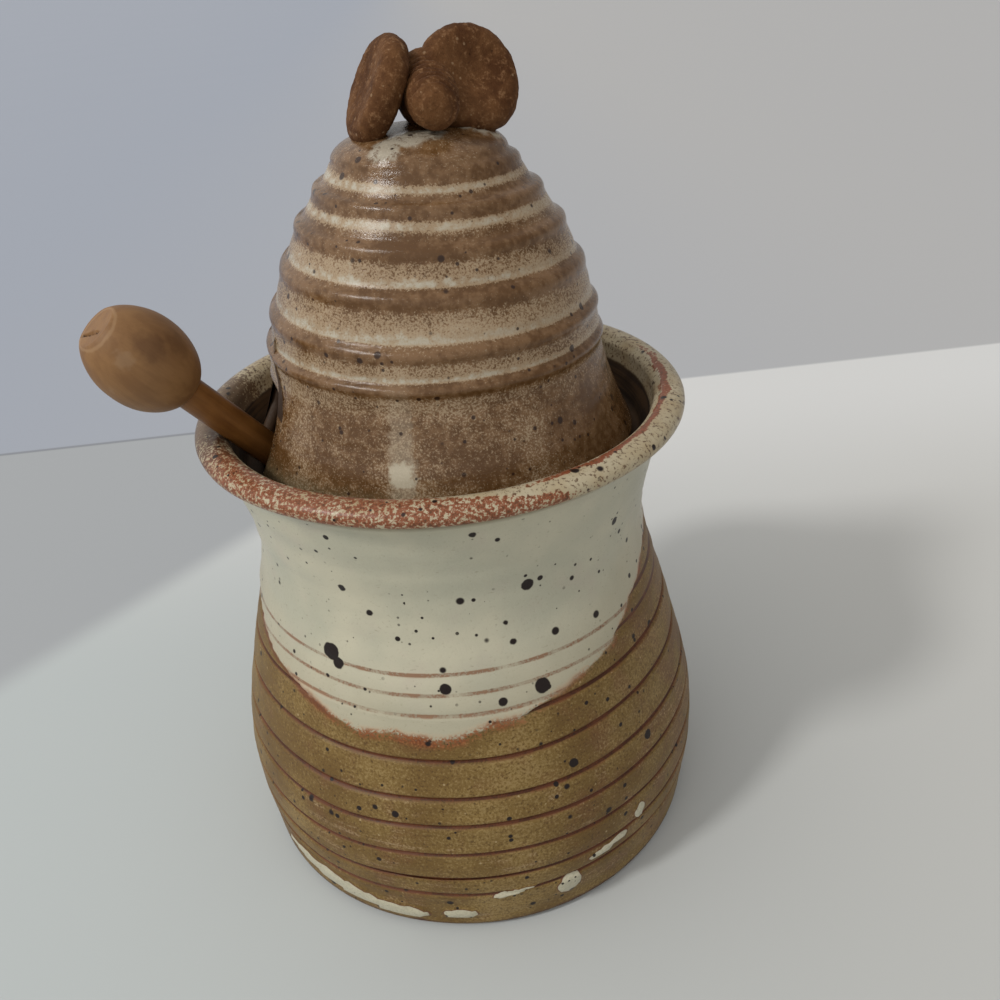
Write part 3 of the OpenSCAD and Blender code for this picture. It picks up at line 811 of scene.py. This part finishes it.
class LidMap:
    """Where a point lies on the lid: its height, its turn from the front and its place between two crests."""

    def __init__(self, bench):
        place = bench.place
        x, y, self.height = axes(place)
        self.turn = bench.maths("ARCTAN2", x, -y) * math.degrees(1)
        self.outside = bench.mark("outside")
        span = CURVE_HIGH - CURVE_LOW
        points = [((crest - CURVE_LOW) / span, index / len(CRESTS)) for index, crest in enumerate(CRESTS)]
        points = [(0.0, 1.0), (1.0, 0.0)] + [point for point in points if 0 < point[0] < 1]
        uneven = noise(place, 30.0, detail=0.0) * 1.2
        turns = curve((self.height + uneven - CURVE_LOW) / span, points) * len(CRESTS)
        self.share = bench.maths("FRACT", turns - self.turn / 360.0 + 10.0)
        self.hive = ease(self.height, 112.0, 117.5) * ease(self.height, 154.0, 149.5) * self.outside
        # Painted shade: one cut edge of the arch, low down, is marked here so that the glaze paints it as dark
        # as the inside.
        aside = measure("DOT_PRODUCT", place, (-math.sin(NOTCH_AT), math.cos(NOTCH_AT), 0.0))
        widening = ease(self.height, SEAT + 1.5, SEAT + 8.5) * (NOTCH_WIDTH - NOTCH_FOOT) / 2
        half = widening + NOTCH_FOOT / 2
        near = ease(aside + half + 1.3, -0.3, 0.3) * ease(aside, 0.0, -1.0)
        top = SEAT + NOTCH_HEIGHT
        self.notch_shade = near * ease(self.height, top - 1.0, top - 3.0) * ease(x, -15.0, -20.0)
        ragged = noise(place, 2.4, shift=14.0) * 2.6
        edges = [measure("DISTANCE", place, middle) + ragged - reach for middle, reach in CAP_POOLS]
        self.pools = most(*[ease(edge, 0.4, -0.8) for edge in edges]) * self.outside


print("crests at the front:", CRESTS)

# %% [markdown]
# ## The lid's glaze
# The same white glaze covers the lid thinly over brown clay. On the crests it has run off and the clay shows
# brown and glossy. Below each crest it is a pale speckle, and it pools almost white in the hollow above the
# next one. Painted light makes the pools and the speckle whiter on the lit left and fainter on the shaded
# right.
# Small iron spots lie everywhere, and a few thin pools lie round the bee. A painted shadow darkens the foot at
# the left, and painted shade darkens one cut edge of the arch.

# %% The lid's glaze
PALE_PROFILE = [
    (0.0, 0.12), (0.12, 0.12), (0.2, 0.34), (0.3, 0.56), (0.44, 0.62), (0.56, 0.72), (0.64, 0.9), (0.7, 1.0),
    (0.75, 0.92), (0.79, 0.45), (0.85, 0.14), (1.0, 0.12),
]
LINE_PROFILE = [
    (0.0, 0.14), (0.2, 0.16), (0.3, 0.6), (0.38, 0.95), (0.46, 1.0),
    (0.54, 0.75), (0.62, 0.4), (0.74, 0.16), (1.0, 0.14),
]
LID_BROWNS = ((0.100, 0.046, 0.014), (0.180, 0.098, 0.044))
LID_CREAMS = ((0.295, 0.205, 0.120), (0.355, 0.262, 0.165))
LID_POOL = (0.47, 0.45, 0.37)
LID_DRIP = (0.50, 0.45, 0.34)
LID_FOOT_SHADOW = (0.110, 0.090, 0.050)
LID_DARK_GRAIN = (0.050, 0.020, 0.007)
LID_SPECK = (0.022, 0.008, 0.004)
LID_INSIDES_AND_NOTCH_SHADE = ((0.025, 0.011, 0.004), (0.060, 0.030, 0.012))


def lid_glaze():
    finish = Finish("lid_glaze", specular=0.35)
    place = finish.place
    lid_map = LidMap(finish)
    turn, height, outside = lid_map.turn, lid_map.height, lid_map.outside
    grain = noise(place, 0.38, detail=3.0, roughness=0.75, shift=1.0)
    coarse = noise(place, 1.5, roughness=0.6, shift=2.0)
    cloud = noise(place, 11.0, shift=3.0)
    jagged = finish.maths("FRACT", lid_map.share + coarse * 0.05 + 1.0)
    low_turns = curve(jagged, PALE_PROFILE)
    top_turns = curve(jagged, LINE_PROFILE)
    on_hive = (low_turns + (top_turns - low_turns) * ease(height, 136.0, 142.0)) * 0.92
    below = 0.34 + cloud * 0.5 - ease(turn, 10.0, 60.0) * ease(height, 118.0, 100.0) * 0.2
    above = 0.2 + cloud * 0.4
    plain = ease(height, 150.0, 152.0) * (above - below) + below
    pale = plain + (on_hive - plain) * lid_map.hive
    # Painted light: the speckle is a little paler on the lit left and darker on the shaded right.
    pale = pale + cloud * 0.4 + coarse * 0.35 + (ease(turn, 75.0, -25.0) - 0.5) * 0.08

    sprinkle = ease(grain + (pale - 0.5) * 0.42, -0.07, 0.09)
    # Painted light: the pools are whiter towards the lit left side and fainter on the shaded right.
    pools_lit_side = ease(turn + cloud * 130.0, 70.0, -10.0) * 0.7 + 0.3
    pool = ease(pale + coarse * 0.5, 0.7, 1.12) * ease(grain + coarse * 0.6, -0.24, 0.1) * pools_lit_side
    cap_pool = lid_map.pools * ease(grain + coarse, -0.3, 0.0) * 0.6
    drip = ease(abs(turn + 13.0 + coarse * 6.0), 4.6, 2.4)
    spot = drip * ease(abs(height + coarse * 3.0 - 103.4), 2.6, 1.4)
    streak = drip * ease(height, 123.0, 104.0) * 0.28
    # Painted shadow: a dark greenish shade at the lid's foot on the left.
    foot_shadow = ease(height + coarse * 4.0, 101.5, 97.0) * ease(turn, 20.0, -30.0)
    marks = most(specks(place, 3.1, 0.8, 0.6, 5.0), specks(place, 1.8, 0.42, 0.6, 6.0))
    surface = lay(
        fade(coarse + cloud, -0.2, 0.2, LID_BROWNS),
        (sprinkle, fade(cloud, -0.2, 0.2, LID_CREAMS)),
        (most(pool * 0.75, cap_pool), LID_POOL),
        (most(spot * 0.9, streak) * outside, LID_DRIP),
        (foot_shadow * outside * 0.75, LID_FOOT_SHADOW),
        (ease(grain + coarse * 0.5, 0.2, 0.34) * 0.55, LID_DARK_GRAIN),
        (marks * 0.9 * outside, LID_SPECK),
    )
    # The inside keeps its own dark colour. The arch's cut edge takes that colour too, as painted shade, and is
    # as rough as the inside.
    outer = outside * (1 - lid_map.notch_shade)
    surface = mix(outer, fade(cloud, -0.2, 0.2, LID_INSIDES_AND_NOTCH_SHADE), surface)
    rough = 0.17 + sprinkle * 0.1 + ease(grain, 0.0, 0.3) * 0.1 + (1 - outer) * 0.4
    return finish.done(surface, rough, grain + coarse, 0.05)


lid_finish = lid_glaze()
print("the lid's glaze has", len(lid_finish.node_tree.nodes), "nodes")

# %% [markdown]
# ## Shaping the lid
# The tree lays the spiral on the dome: the profile curve gives the push for each place between two crests,
# and it dies away at the cap and above the foot. The whole lid also leans a little to one side.

# %% Shape the lid
def shape_lid():
    shape = Shape("hive ridges", Ridge=1.0, Sink=0.45, Lean=1.0, Pool=0.3)
    place, lid_map, given = shape.place, LidMap(shape), shape.given
    ridge = curve(lid_map.share, RIDGE_PROFILE) * given["Ridge"] - given["Sink"]
    waver = noise(place, 24.0, detail=1.0) * 0.7
    fingers = noise(place, (30.0, 30.0, 2.6), detail=1.0, shift=3.0) * 0.4
    pools = lid_map.pools * given["Pool"]
    firm = ease(lid_map.height, SEAT + 1.0, SEAT + 9.0) * lid_map.outside
    amount = ridge * lid_map.hive + (waver + fingers + pools) * firm
    lean = ease(lid_map.height, SEAT, SEAT + CROWN_HEIGHT) * given["Lean"]
    shape.swell(amount, lid_finish, shape.spread(lean, 0.0, 0.0))
    return shape


shape_lid().apply(lid)
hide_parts("lid")
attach(lid, "lid")

# %% [markdown]
# ## The bee's clay
# The bee is bare clay, pinched from small pats and pressed on to the crown. It has no glaze, so it stays
# rough: fingers leave it lumpy and smeared, pale grog shows as grains, and air leaves small dark pits.

# %% Bare clay
CLAY_SHADES = ((0.070, 0.026, 0.008), (0.140, 0.062, 0.023))
CLAY_SMEAR = (0.225, 0.118, 0.055)
CLAY_SHADOW = (0.026, 0.009, 0.003)
CLAY_GROG = (0.32, 0.21, 0.12)
CLAY_PIT = (0.014, 0.005, 0.004)


def pits(place):
    return specks(place, 3.0, 0.5, 0.4, 5.0)


def bare_clay():
    finish = Finish("bare_clay", 1.45, 0.15)
    place = finish.place
    cloud = noise(place, 5.5, detail=3.0, shift=2.0)
    grain = noise(place, 0.5, detail=3.0, roughness=0.75)
    smear = noise(place, 1.5, detail=4.0, roughness=0.65, shift=4.0)
    clay = lay(
        fade(cloud + smear * 0.6, -0.24, 0.24, CLAY_SHADES),
        (ease(smear + grain, 0.04, 0.26) * 0.75, CLAY_SMEAR),
        (ease(grain + smear * 0.4, -0.1, -0.3) * 0.8, CLAY_SHADOW),
        (specks(place, 1.2, 0.3, 0.7, 2.0) * 0.6, CLAY_GROG),
        (pits(place), CLAY_PIT),
    )
    return finish.done(clay, 0.72 - grain * 0.3, grain + smear * 1.2, 0.2)


clay_finish = bare_clay()
print("bare clay has", len(clay_finish.node_tree.nodes), "nodes")

# %% [markdown]
# ## The bee
# Five pats make the bee: an egg for the thorax, a ringed stub for the abdomen, a ball for the head and two
# thick round wings. Each is turned about its own axis, carried to its place on the crown, and then kneaded by
# one tree, so that no two sides are alike. The hollow that a thumb leaves is in each wing's outline.

# %% The bee's blanks
THORAX_AT = Vector((3.0, 1.3, 161.1))
THORAX_RADIUS, THORAX_HALF = 5.5, 6.7
ABDOMEN_ROOT = Vector((3.3, -0.4, 162.0))
ABDOMEN_LENGTH, ABDOMEN_RADIUS, ABDOMEN_RINGS = 13.5, 4.9, 7
ABDOMEN_SLOPE, ABDOMEN_TURN = math.radians(10), math.radians(4)
ABDOMEN_STEPS, RING_DEPTH, BLUNT_FROM = 64, 0.8, 0.84
HEAD_AT = Vector((2.8, 8.9, 158.9))
HEAD_RADIUS = 4.2
WING_RADIUS, WING_THICKNESS = 9.7, 5.4
WING_DISHES = (0.5, 1.4)
WING_LEFT_NORMAL = Vector((-0.86, -0.22, 0.46))
WING_RIGHT_NORMAL = Vector((0.39, -0.817, 0.43))


def carry(piece, axis, place):
    """Lays a blank that stands along +Z along another axis, at a place in millimetres."""
    turn = axis.normalized().to_track_quat("Z", "Y").to_matrix().to_4x4()
    piece.data.transform(Matrix.Translation(place * MM) @ turn)
    return piece


def egg_outline(radius, half):
    return [(radius * math.cos(a), half * math.sin(a)) for a in np.radians(np.linspace(-90, 90, 34))]


def wing_outline(dish):
    edge = WING_THICKNESS / 2
    flat = WING_RADIUS - edge
    back = [(flat * share, -edge) for share in np.linspace(0, 0.9, 9)]
    rim = arc((flat, 0), edge, -90, 90, 16)
    front = [(flat * t, edge - dish * (1 + math.cos(math.pi * t)) / 2) for t in np.linspace(0.92, 0, 12)]
    return back + rim + front


def abdomen_outline():
    points = [(0.0, 0.0)]
    for step in range(1, ABDOMEN_STEPS):
        share = step / ABDOMEN_STEPS
        taper = ABDOMEN_RADIUS - 0.8 * share**2
        blunt = 1 - 4.0 * max(0.0, share - BLUNT_FROM) ** 1.5
        ring = RING_DEPTH * (1 - abs(math.sin(math.pi * share * ABDOMEN_RINGS)) ** 0.6)
        points.append((taper * blunt - ring, share * ABDOMEN_LENGTH))
    tip = points[-1][0]
    high = ABDOMEN_LENGTH - 0.3
    return points + [(tip * math.cos(a), high + 1.1 * math.sin(a)) for a in np.radians([15, 35, 55, 75, 90])]


abdomen_axis = pointing(ABDOMEN_TURN - math.pi / 2, -ABDOMEN_SLOPE)
upright = Vector((0, 0, 1))
body = egg_outline(THORAX_RADIUS, THORAX_HALF)
ball = egg_outline(HEAD_RADIUS, HEAD_RADIUS)
left, right = [wing_outline(dish) for dish in WING_DISHES]
bee = {
    "bee_thorax": carry(turned("thorax_pat", body, 72), upright, THORAX_AT),
    "bee_head": carry(turned("head_ball", ball, 72), upright, HEAD_AT),
    "bee_abdomen": carry(turned("abdomen_stub", abdomen_outline(), 96), abdomen_axis, ABDOMEN_ROOT),
    "bee_wing_left": carry(turned("wing_left_pat", left, 128), WING_LEFT_NORMAL, WING_LEFT_AT),
    "bee_wing_right": carry(turned("wing_right_pat", right, 128), WING_RIGHT_NORMAL, WING_RIGHT_AT),
}
print("the bee has", len(bee), "pats")

# %% Knead the bee
def shape_bee():
    shape = Shape("kneaded clay", Lumps=0.9, Drag=0.45)
    place, given = shape.place, shape.given
    lumps = noise(place, 8.0, detail=1.0, shift=6.0) * given["Lumps"]
    drag = noise(place, 2.2, detail=3.0, roughness=0.6, shift=2.0) * given["Drag"]
    shape.swell(lumps + drag + noise(place, 0.9) * 0.3 - pits(place) * 0.45, clay_finish)
    return shape


kneading = shape_bee()
for node, pat in bee.items():
    kneading.apply(pat)
    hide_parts(node)
    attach(pat, "lid")

# %% [markdown]
# ## Where the dipper leans
# The dipper crosses the rolled lip and its head rests on the floor of the jar, which fixes its line. The line
# is worked out as a person would set it down: from the point over the lip, back along the shaft to the floor.

# %% The dipper's line
LEAN = math.radians(52.2)
HEADING = math.radians(-150.7)
LIP_CONTACT = math.radians(-164.8)
REST_GAP = 0.2
SHAFT_RADIUS = 3.2
DIPPER_LENGTH = 151.2
KNOB_RADIUS, KNOB_LENGTH, KNOB_FLAT = 8.7, 19.4, 4.2
SOCKET_DEPTH = 8.5
HEAD_LENGTH, HEAD_WIDEST, HEAD_CORE = 34.0, 11.0, 5.0
HEAD_RIBS, RIB_THICKNESS = 6, 3.0
EGG_TAPER = 0.42


def dipper_head_radius(along):
    half = HEAD_LENGTH / 2
    return HEAD_WIDEST * math.sqrt(1 - EGG_TAPER * ((along - half) / half) ** 2)


def dipper_end():
    """The end of the head, in millimetres."""
    up = pointing(HEADING, LEAN)
    lip = Vector((LIP_RING * math.cos(LIP_CONTACT), LIP_RING * math.sin(LIP_CONTACT), LIP_HEIGHT))
    away = up.cross(Vector((-math.sin(LIP_CONTACT), math.cos(LIP_CONTACT), 0))).normalized()
    over = lip + away * math.copysign(LIP_ROLL + SHAFT_RADIUS + REST_GAP, away.z)
    pitch = (HEAD_LENGTH - RIB_THICKNESS) / (HEAD_RIBS - 1)
    starts = [rib * pitch for rib in range(HEAD_RIBS)]
    radii = [dipper_head_radius(start + RIB_THICKNESS / 2) for start in starts]
    reach = max(r * math.cos(LEAN) - (s + 0.7) * math.sin(LEAN) for r, s in zip(radii, starts))
    low = FLOOR_HEIGHT + REST_GAP + reach
    return over - up * ((over.z - low) / math.sin(LEAN))


DIPPER_END = dipper_end()
DIPPER_PLACE = (
    Matrix.Translation(DIPPER_END * MM)
    @ Matrix.Rotation(HEADING, 4, "Z")
    @ Matrix.Rotation(math.pi / 2 - LEAN, 4, "Y")
)
print("the dipper's head ends at", [round(value, 2) for value in DIPPER_END])

# %% [markdown]
# ## The woods
# The shaft is a dowel, cut along the grain, so its colour runs in long fine lines. The knob was turned from
# another piece, with dark stains where fingers hold it. Both finishes need to know which way the grain runs,
# so each measures a point along the dipper and across it instead of along the room's own axes.

# %% Wood finishes
KNOB_STAINS = [((-44.7, -20.0, 126.3), 2.2), ((-48.3, -24.3, 127.4), 2.6)]
KNOB_SMUDGE = (-52.4, -26.4, 126.0)
END_RING = (0.1, 0.8, 4.3)
CRACK_AT = (1.42, 0.33)
SHAFT_SHADES = ((0.12, 0.045, 0.010), (0.22, 0.092, 0.022))
KNOB_SHADES = ((0.190, 0.092, 0.034), (0.250, 0.130, 0.050))
RING_MARK = (0.33, 0.20, 0.10)
STAIN_MARK = (0.080, 0.032, 0.012)
SMUDGE_MARK = (0.32, 0.21, 0.12)
CRACK_DARK = (0.020, 0.008, 0.004)
WORN_WOOD = (0.31, 0.20, 0.11)


def wood(name, shades, streak, fine, contrast):
    """Wood with its grain along the dipper: long streaks, fine pores and a few darker stains."""
    finish = Finish(name, 1.45, 0.35)
    from_end = finish.vector("SUBTRACT", finish.place, tuple(DIPPER_END))
    ways = [tuple(DIPPER_PLACE.col[axis][:3]) for axis in range(3)]
    parts = [measure("DOT_PRODUCT", from_end, way) for way in ways]
    local = finish.get("ShaderNodeCombineXYZ", None, dict(enumerate(parts)))
    rings = noise(local, (2.2, 2.2, streak), detail=3.0, roughness=0.6)
    pores = noise(local, (0.28, 0.28, fine), shift=3.0)
    stain = noise(finish.place, 6.0, detail=3.0, shift=6.0)
    deeper = tuple(part * 0.6 for part in shades[0])
    colour = lay(
        fade(rings + stain * 0.7, -0.25, 0.25, shades),
        (ease(pores, 0.08, 0.3) * contrast, deeper),
        (ease(stain, 0.16, 0.3) * contrast, deeper),
    )
    return finish, local, colour, pores * 0.6 + rings


def shaft_wood():
    finish, _, colour, relief = wood("shaft_wood", SHAFT_SHADES, 40.0, 7.0, 0.25)
    return finish.done(colour, 0.42 + relief * 0.2, relief, 0.06)


def crack_mask(x, y, waver, width, clear, tapered):
    """A crack across the knob's flat end, measured aside of its line and down along it."""
    right, back = x - CRACK_AT[0], y - CRACK_AT[1]
    aside = right * 0.9 + back * 0.43 + waver
    down = back * 0.9 - right * 0.43
    return ease(abs(aside), width, clear) * ease(abs(down + 0.3), 3.1, tapered)


def knob_wood():
    finish, local, colour, relief = wood("knob_wood", KNOB_SHADES, 26.0, 2.5, 0.15)
    place = finish.place
    x, y, along = axes(local)
    side, up, reach = END_RING
    from_ring = finish.maths("SQRT", (x - side) * (x - side) + (y - up) * (y - up)) - reach
    grime = noise(place, 1.6, detail=3.0, shift=12.0)
    end = ease(along, DIPPER_LENGTH - 2.6, DIPPER_LENGTH - 2.2)
    edges = [measure("DISTANCE", place, middle) + grime * 4.0 - size for middle, size in KNOB_STAINS]
    smudge = ease(measure("DISTANCE", place, KNOB_SMUDGE) + grime * 4.0, 2.2, 0.8)
    colour = lay(
        colour,
        (ease(abs(from_ring + grime * 0.5), 0.34, 0.08) * end * 0.55, RING_MARK),
        *[(ease(edge, 1.2, -1.2) * 0.45, STAIN_MARK) for edge in edges],
        (smudge * 0.35, SMUDGE_MARK),
        (crack_mask(x, y, grime * 0.8, 0.3, 0.1, 2.6) * end * 0.9, CRACK_DARK),
        (ease(noise(place, 2.6, detail=3.0, shift=9.0), 0.13, 0.24) * 0.3, WORN_WOOD),
    )
    return finish.done(colour, 0.52 + relief * 0.15, relief, 0.05)


shaft_finish = shaft_wood()
knob_finish = knob_wood()
print("two woods are ready")

# %% [markdown]
# ## The dipper
# The knob is an egg with one end sanded flat, and the shaft is a plain dowel. The head is a core with a row
# of equal ribs: one thin disc is turned, and the tree sets a copy at each step, scaled to the head's egg.

# %% Turn the dipper
def knob_outline():
    half = KNOB_LENGTH / 2
    flat_turn = math.asin(KNOB_FLAT / KNOB_RADIUS)
    tall = half / math.cos(flat_turn)
    start, stop = -math.pi / 2 + flat_turn * 0.8, math.pi / 2 - flat_turn
    angles = np.linspace(start, stop, 60)
    egg = [(KNOB_RADIUS * math.cos(a), max(-half, tall * math.sin(a))) for a in angles]
    low, top = egg[0][0], egg[-1][0]
    base = [(low * share, -half) for share in (0.0, 0.5, 0.95)]
    end = [(top * share, half) for share in (0.97, 0.9, 0.8, 0.7, 0.6, 0.5, 0.4, 0.3, 0.2, 0.1, 0.0)]
    middle = DIPPER_LENGTH - half
    return [(radius, middle + height) for radius, height in base + egg + end]


def shaft_outline():
    low, high = HEAD_LENGTH - SOCKET_DEPTH, DIPPER_LENGTH - KNOB_LENGTH + SOCKET_DEPTH
    wall = [(SHAFT_RADIUS, height) for height in np.linspace(low, high, 60)]
    return [(0.0, low), (SHAFT_RADIUS * 0.9, low)] + wall + [(SHAFT_RADIUS * 0.9, high), (0.0, high)]


def core_outline():
    wall = [(HEAD_CORE, height) for height in np.linspace(0.6, HEAD_LENGTH - 0.6, 30)]
    return [(0.0, 0.0), (HEAD_CORE - 0.6, 0.0)] + wall + [(HEAD_CORE - 0.6, HEAD_LENGTH), (0.0, HEAD_LENGTH)]


def rib_outline():
    """A disc of radius 1 and of a rib's thickness, whose edge is rounded."""
    half = RIB_THICKNESS / 2
    edge = [(0.93 + 0.07 * math.cos(a), half * math.sin(a)) for a in np.radians(np.linspace(-80, 80, 9))]
    return [(0.0, -half), (0.6, -half), (0.9, -half)] + edge + [(0.9, half), (0.6, half), (0.0, half)]


def shape_ribs():
    pitch = (HEAD_LENGTH - RIB_THICKNESS) / (HEAD_RIBS - 1)
    shape = Shape("dipper ribs", Ribs=HEAD_RIBS, Pitch=pitch, Widest=HEAD_WIDEST)
    given = shape.given
    step = shape.scaled(shape.spread(0.0, 0.0, given["Pitch"]), MM)
    start = (0.0, 0.0, RIB_THICKNESS / 2 * MM)
    sockets = {"Count": given["Ribs"], "Start Location": start, "Offset": step}
    line = shape.get("GeometryNodeMeshLine", {"mode": "OFFSET"}, sockets)
    half = HEAD_LENGTH / 2
    along = (axes(shape.place)[2] - half) / half
    width = shape.maths("SQRT", 1 - along * along * EGG_TAPER) * given["Widest"]
    sockets = {"Points": line, "Instance": shape.blank, "Scale": shape.spread(width, width, 1.0)}
    shape.done(shape.get("GeometryNodeInstanceOnPoints", None, sockets), shaft_finish)
    return shape


def shape_wood(name, finish, crack):
    """Hand-sanded wood: a slight waver, and on the knob a crack across its flat end."""
    shape = Shape(name, Waver=0.25, Crack=crack)
    x, y, z = axes(shape.place)
    wander = noise(shape.place, 3.0, detail=3.0) * 1.2
    split = crack_mask(x, y, wander * 0.3, 0.38, 0.06, 2.4)
    split = split * ease(z, DIPPER_LENGTH - 2.5, DIPPER_LENGTH - 1.2)
    waver = noise(shape.place, 9.0, detail=1.0) * shape.given["Waver"]
    shape.swell(waver - split * shape.given["Crack"], finish)
    return shape


knob = shape_wood("knob shape", knob_finish, 0.9).apply(turned("knob_egg", knob_outline(), 180))
shaft = shape_wood("shaft shape", shaft_finish, 0.0).apply(turned("shaft_dowel", shaft_outline(), 64))
core = shape_wood("core shape", shaft_finish, 0.0).apply(turned("dipper_core", core_outline(), 64))
ribs = shape_ribs().apply(turned("dipper_ribs", rib_outline(), 96))
for piece, slot in ((knob, "knob_wood"), (shaft, "shaft_wood"), (core, "shaft_wood"), (ribs, "shaft_wood")):
    piece.data.transform(DIPPER_PLACE)
    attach(piece, "dipper")
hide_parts("dipper_knob")
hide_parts("dipper_shaft")
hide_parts("dipper_head")

# %% [markdown]
# ## Floor, backdrop and light
# The pot stands on a plain pale surface with a plain wall behind it. One sheet serves for both: its colour
# turns to the wall's where the wall begins. A shadow is painted on the floor behind the pot at the left, and a
# thin painted shadow runs along the foot of the wall there. The light is a soft lamp from the left, above and
# a little in front, and a sky that is brighter on that side.

# %% Floor
WALL_FROM, WALL_SLOPE = 220.4, 0.0267
SHADE_SLOPE, SHADE_FROM = 1.108, 196.0
FLOOR_REACH = 30.0
FLOOR_NEAR = ((0.498, 0.542, 0.548), (0.522, 0.523, 0.507))
FLOOR_FAR = (0.655, 0.663, 0.663)
FLOOR_SHADE = (0.385, 0.405, 0.425)
WALL_SHADES = ((0.351, 0.386, 0.457), (0.446, 0.450, 0.457))
SEAM_SHADOW = (0.180, 0.190, 0.210)


def add_floor():
    signs = ((-1, -1), (1, -1), (1, 1), (-1, 1))
    corners = [(side * FLOOR_REACH, end * FLOOR_REACH, 0) for side, end in signs]
    mesh = bpy.data.meshes.new("floor")
    mesh.from_pydata(corners, [], [(0, 1, 2, 3)])
    floor = bpy.data.objects.new("floor", mesh)
    bpy.context.scene.collection.objects.link(floor)
    finish = Finish("pale_surface")
    x, y, _ = axes(finish.place)
    # Painted shadow on the floor, behind the pot at the left.
    shadow_behind_left = ease(y - x * SHADE_SLOPE, SHADE_FROM, SHADE_FROM + 22) * ease(x, -20.0, -70.0)
    past_line = y - x * WALL_SLOPE - WALL_FROM
    # Painted shadow: a thin dark line where the wall meets the floor, at the left.
    seam_shadow = ease(abs(past_line), 1.8, 0.5) * ease(x, -10.0, -60.0)
    colour = lay(
        fade(x, -150.0, 200.0, FLOOR_NEAR),
        (ease(y, 40.0, 210.0), FLOOR_FAR),
        (shadow_behind_left, FLOOR_SHADE),
        (ease(past_line, -1.5, 1.5), fade(x, -350.0, 350.0, WALL_SHADES)),
        (seam_shadow * 0.6, SEAM_SHADOW),
    )
    cloud = noise(finish.place, 260.0)
    mesh.materials.append(finish.done(colour, 0.8 + cloud * 0.1, cloud, 0.0))


add_floor()

# %% Light
LAMP_FROM = math.radians(-153)
LAMP_HEIGHT = math.radians(43)
LAMP_COLOUR = (1.0, 0.98, 0.95)
SKY_SHADES = ((0.31, 0.305, 0.30), (0.97, 0.95, 0.92))
SKY_SEEN = (0.42, 0.43, 0.45)


def add_light():
    lamp = bpy.data.objects.new("lamp", bpy.data.lights.new("lamp", "SUN"))
    lamp.data.energy = 1.2
    lamp.data.angle = math.radians(8)
    lamp.data.color = LAMP_COLOUR
    lamp.rotation_mode = "QUATERNION"
    lamp.rotation_quaternion = pointing(LAMP_FROM, LAMP_HEIGHT).to_track_quat("Z", "Y")
    bpy.context.scene.collection.objects.link(lamp)
    world = bpy.data.worlds.new("soft sky")
    world.use_nodes = True
    world.node_tree.nodes.clear()
    bench = Bench(world.node_tree)
    direction = bench.get("ShaderNodeTexCoord", output="Generated")
    side = measure("DOT_PRODUCT", direction, (math.cos(LAMP_FROM), math.sin(LAMP_FROM), 0.25))
    sky = fade(side, -1.0, 1.0, SKY_SHADES)
    shown = mix(bench.get("ShaderNodeLightPath", output="Is Camera Ray"), sky, SKY_SEEN)
    background = bench.node("ShaderNodeBackground", None, {"Color": shown, "Strength": 1.0})
    output = bench.node("ShaderNodeOutputWorld")
    bench.tree.links.new(background.outputs[0], output.inputs[0])
    bpy.context.scene.world = world
    bpy.context.scene.view_settings.view_transform = "Standard"


add_light()
print("the lamp stands", round(math.degrees(LAMP_HEIGHT)), "degrees above the table")
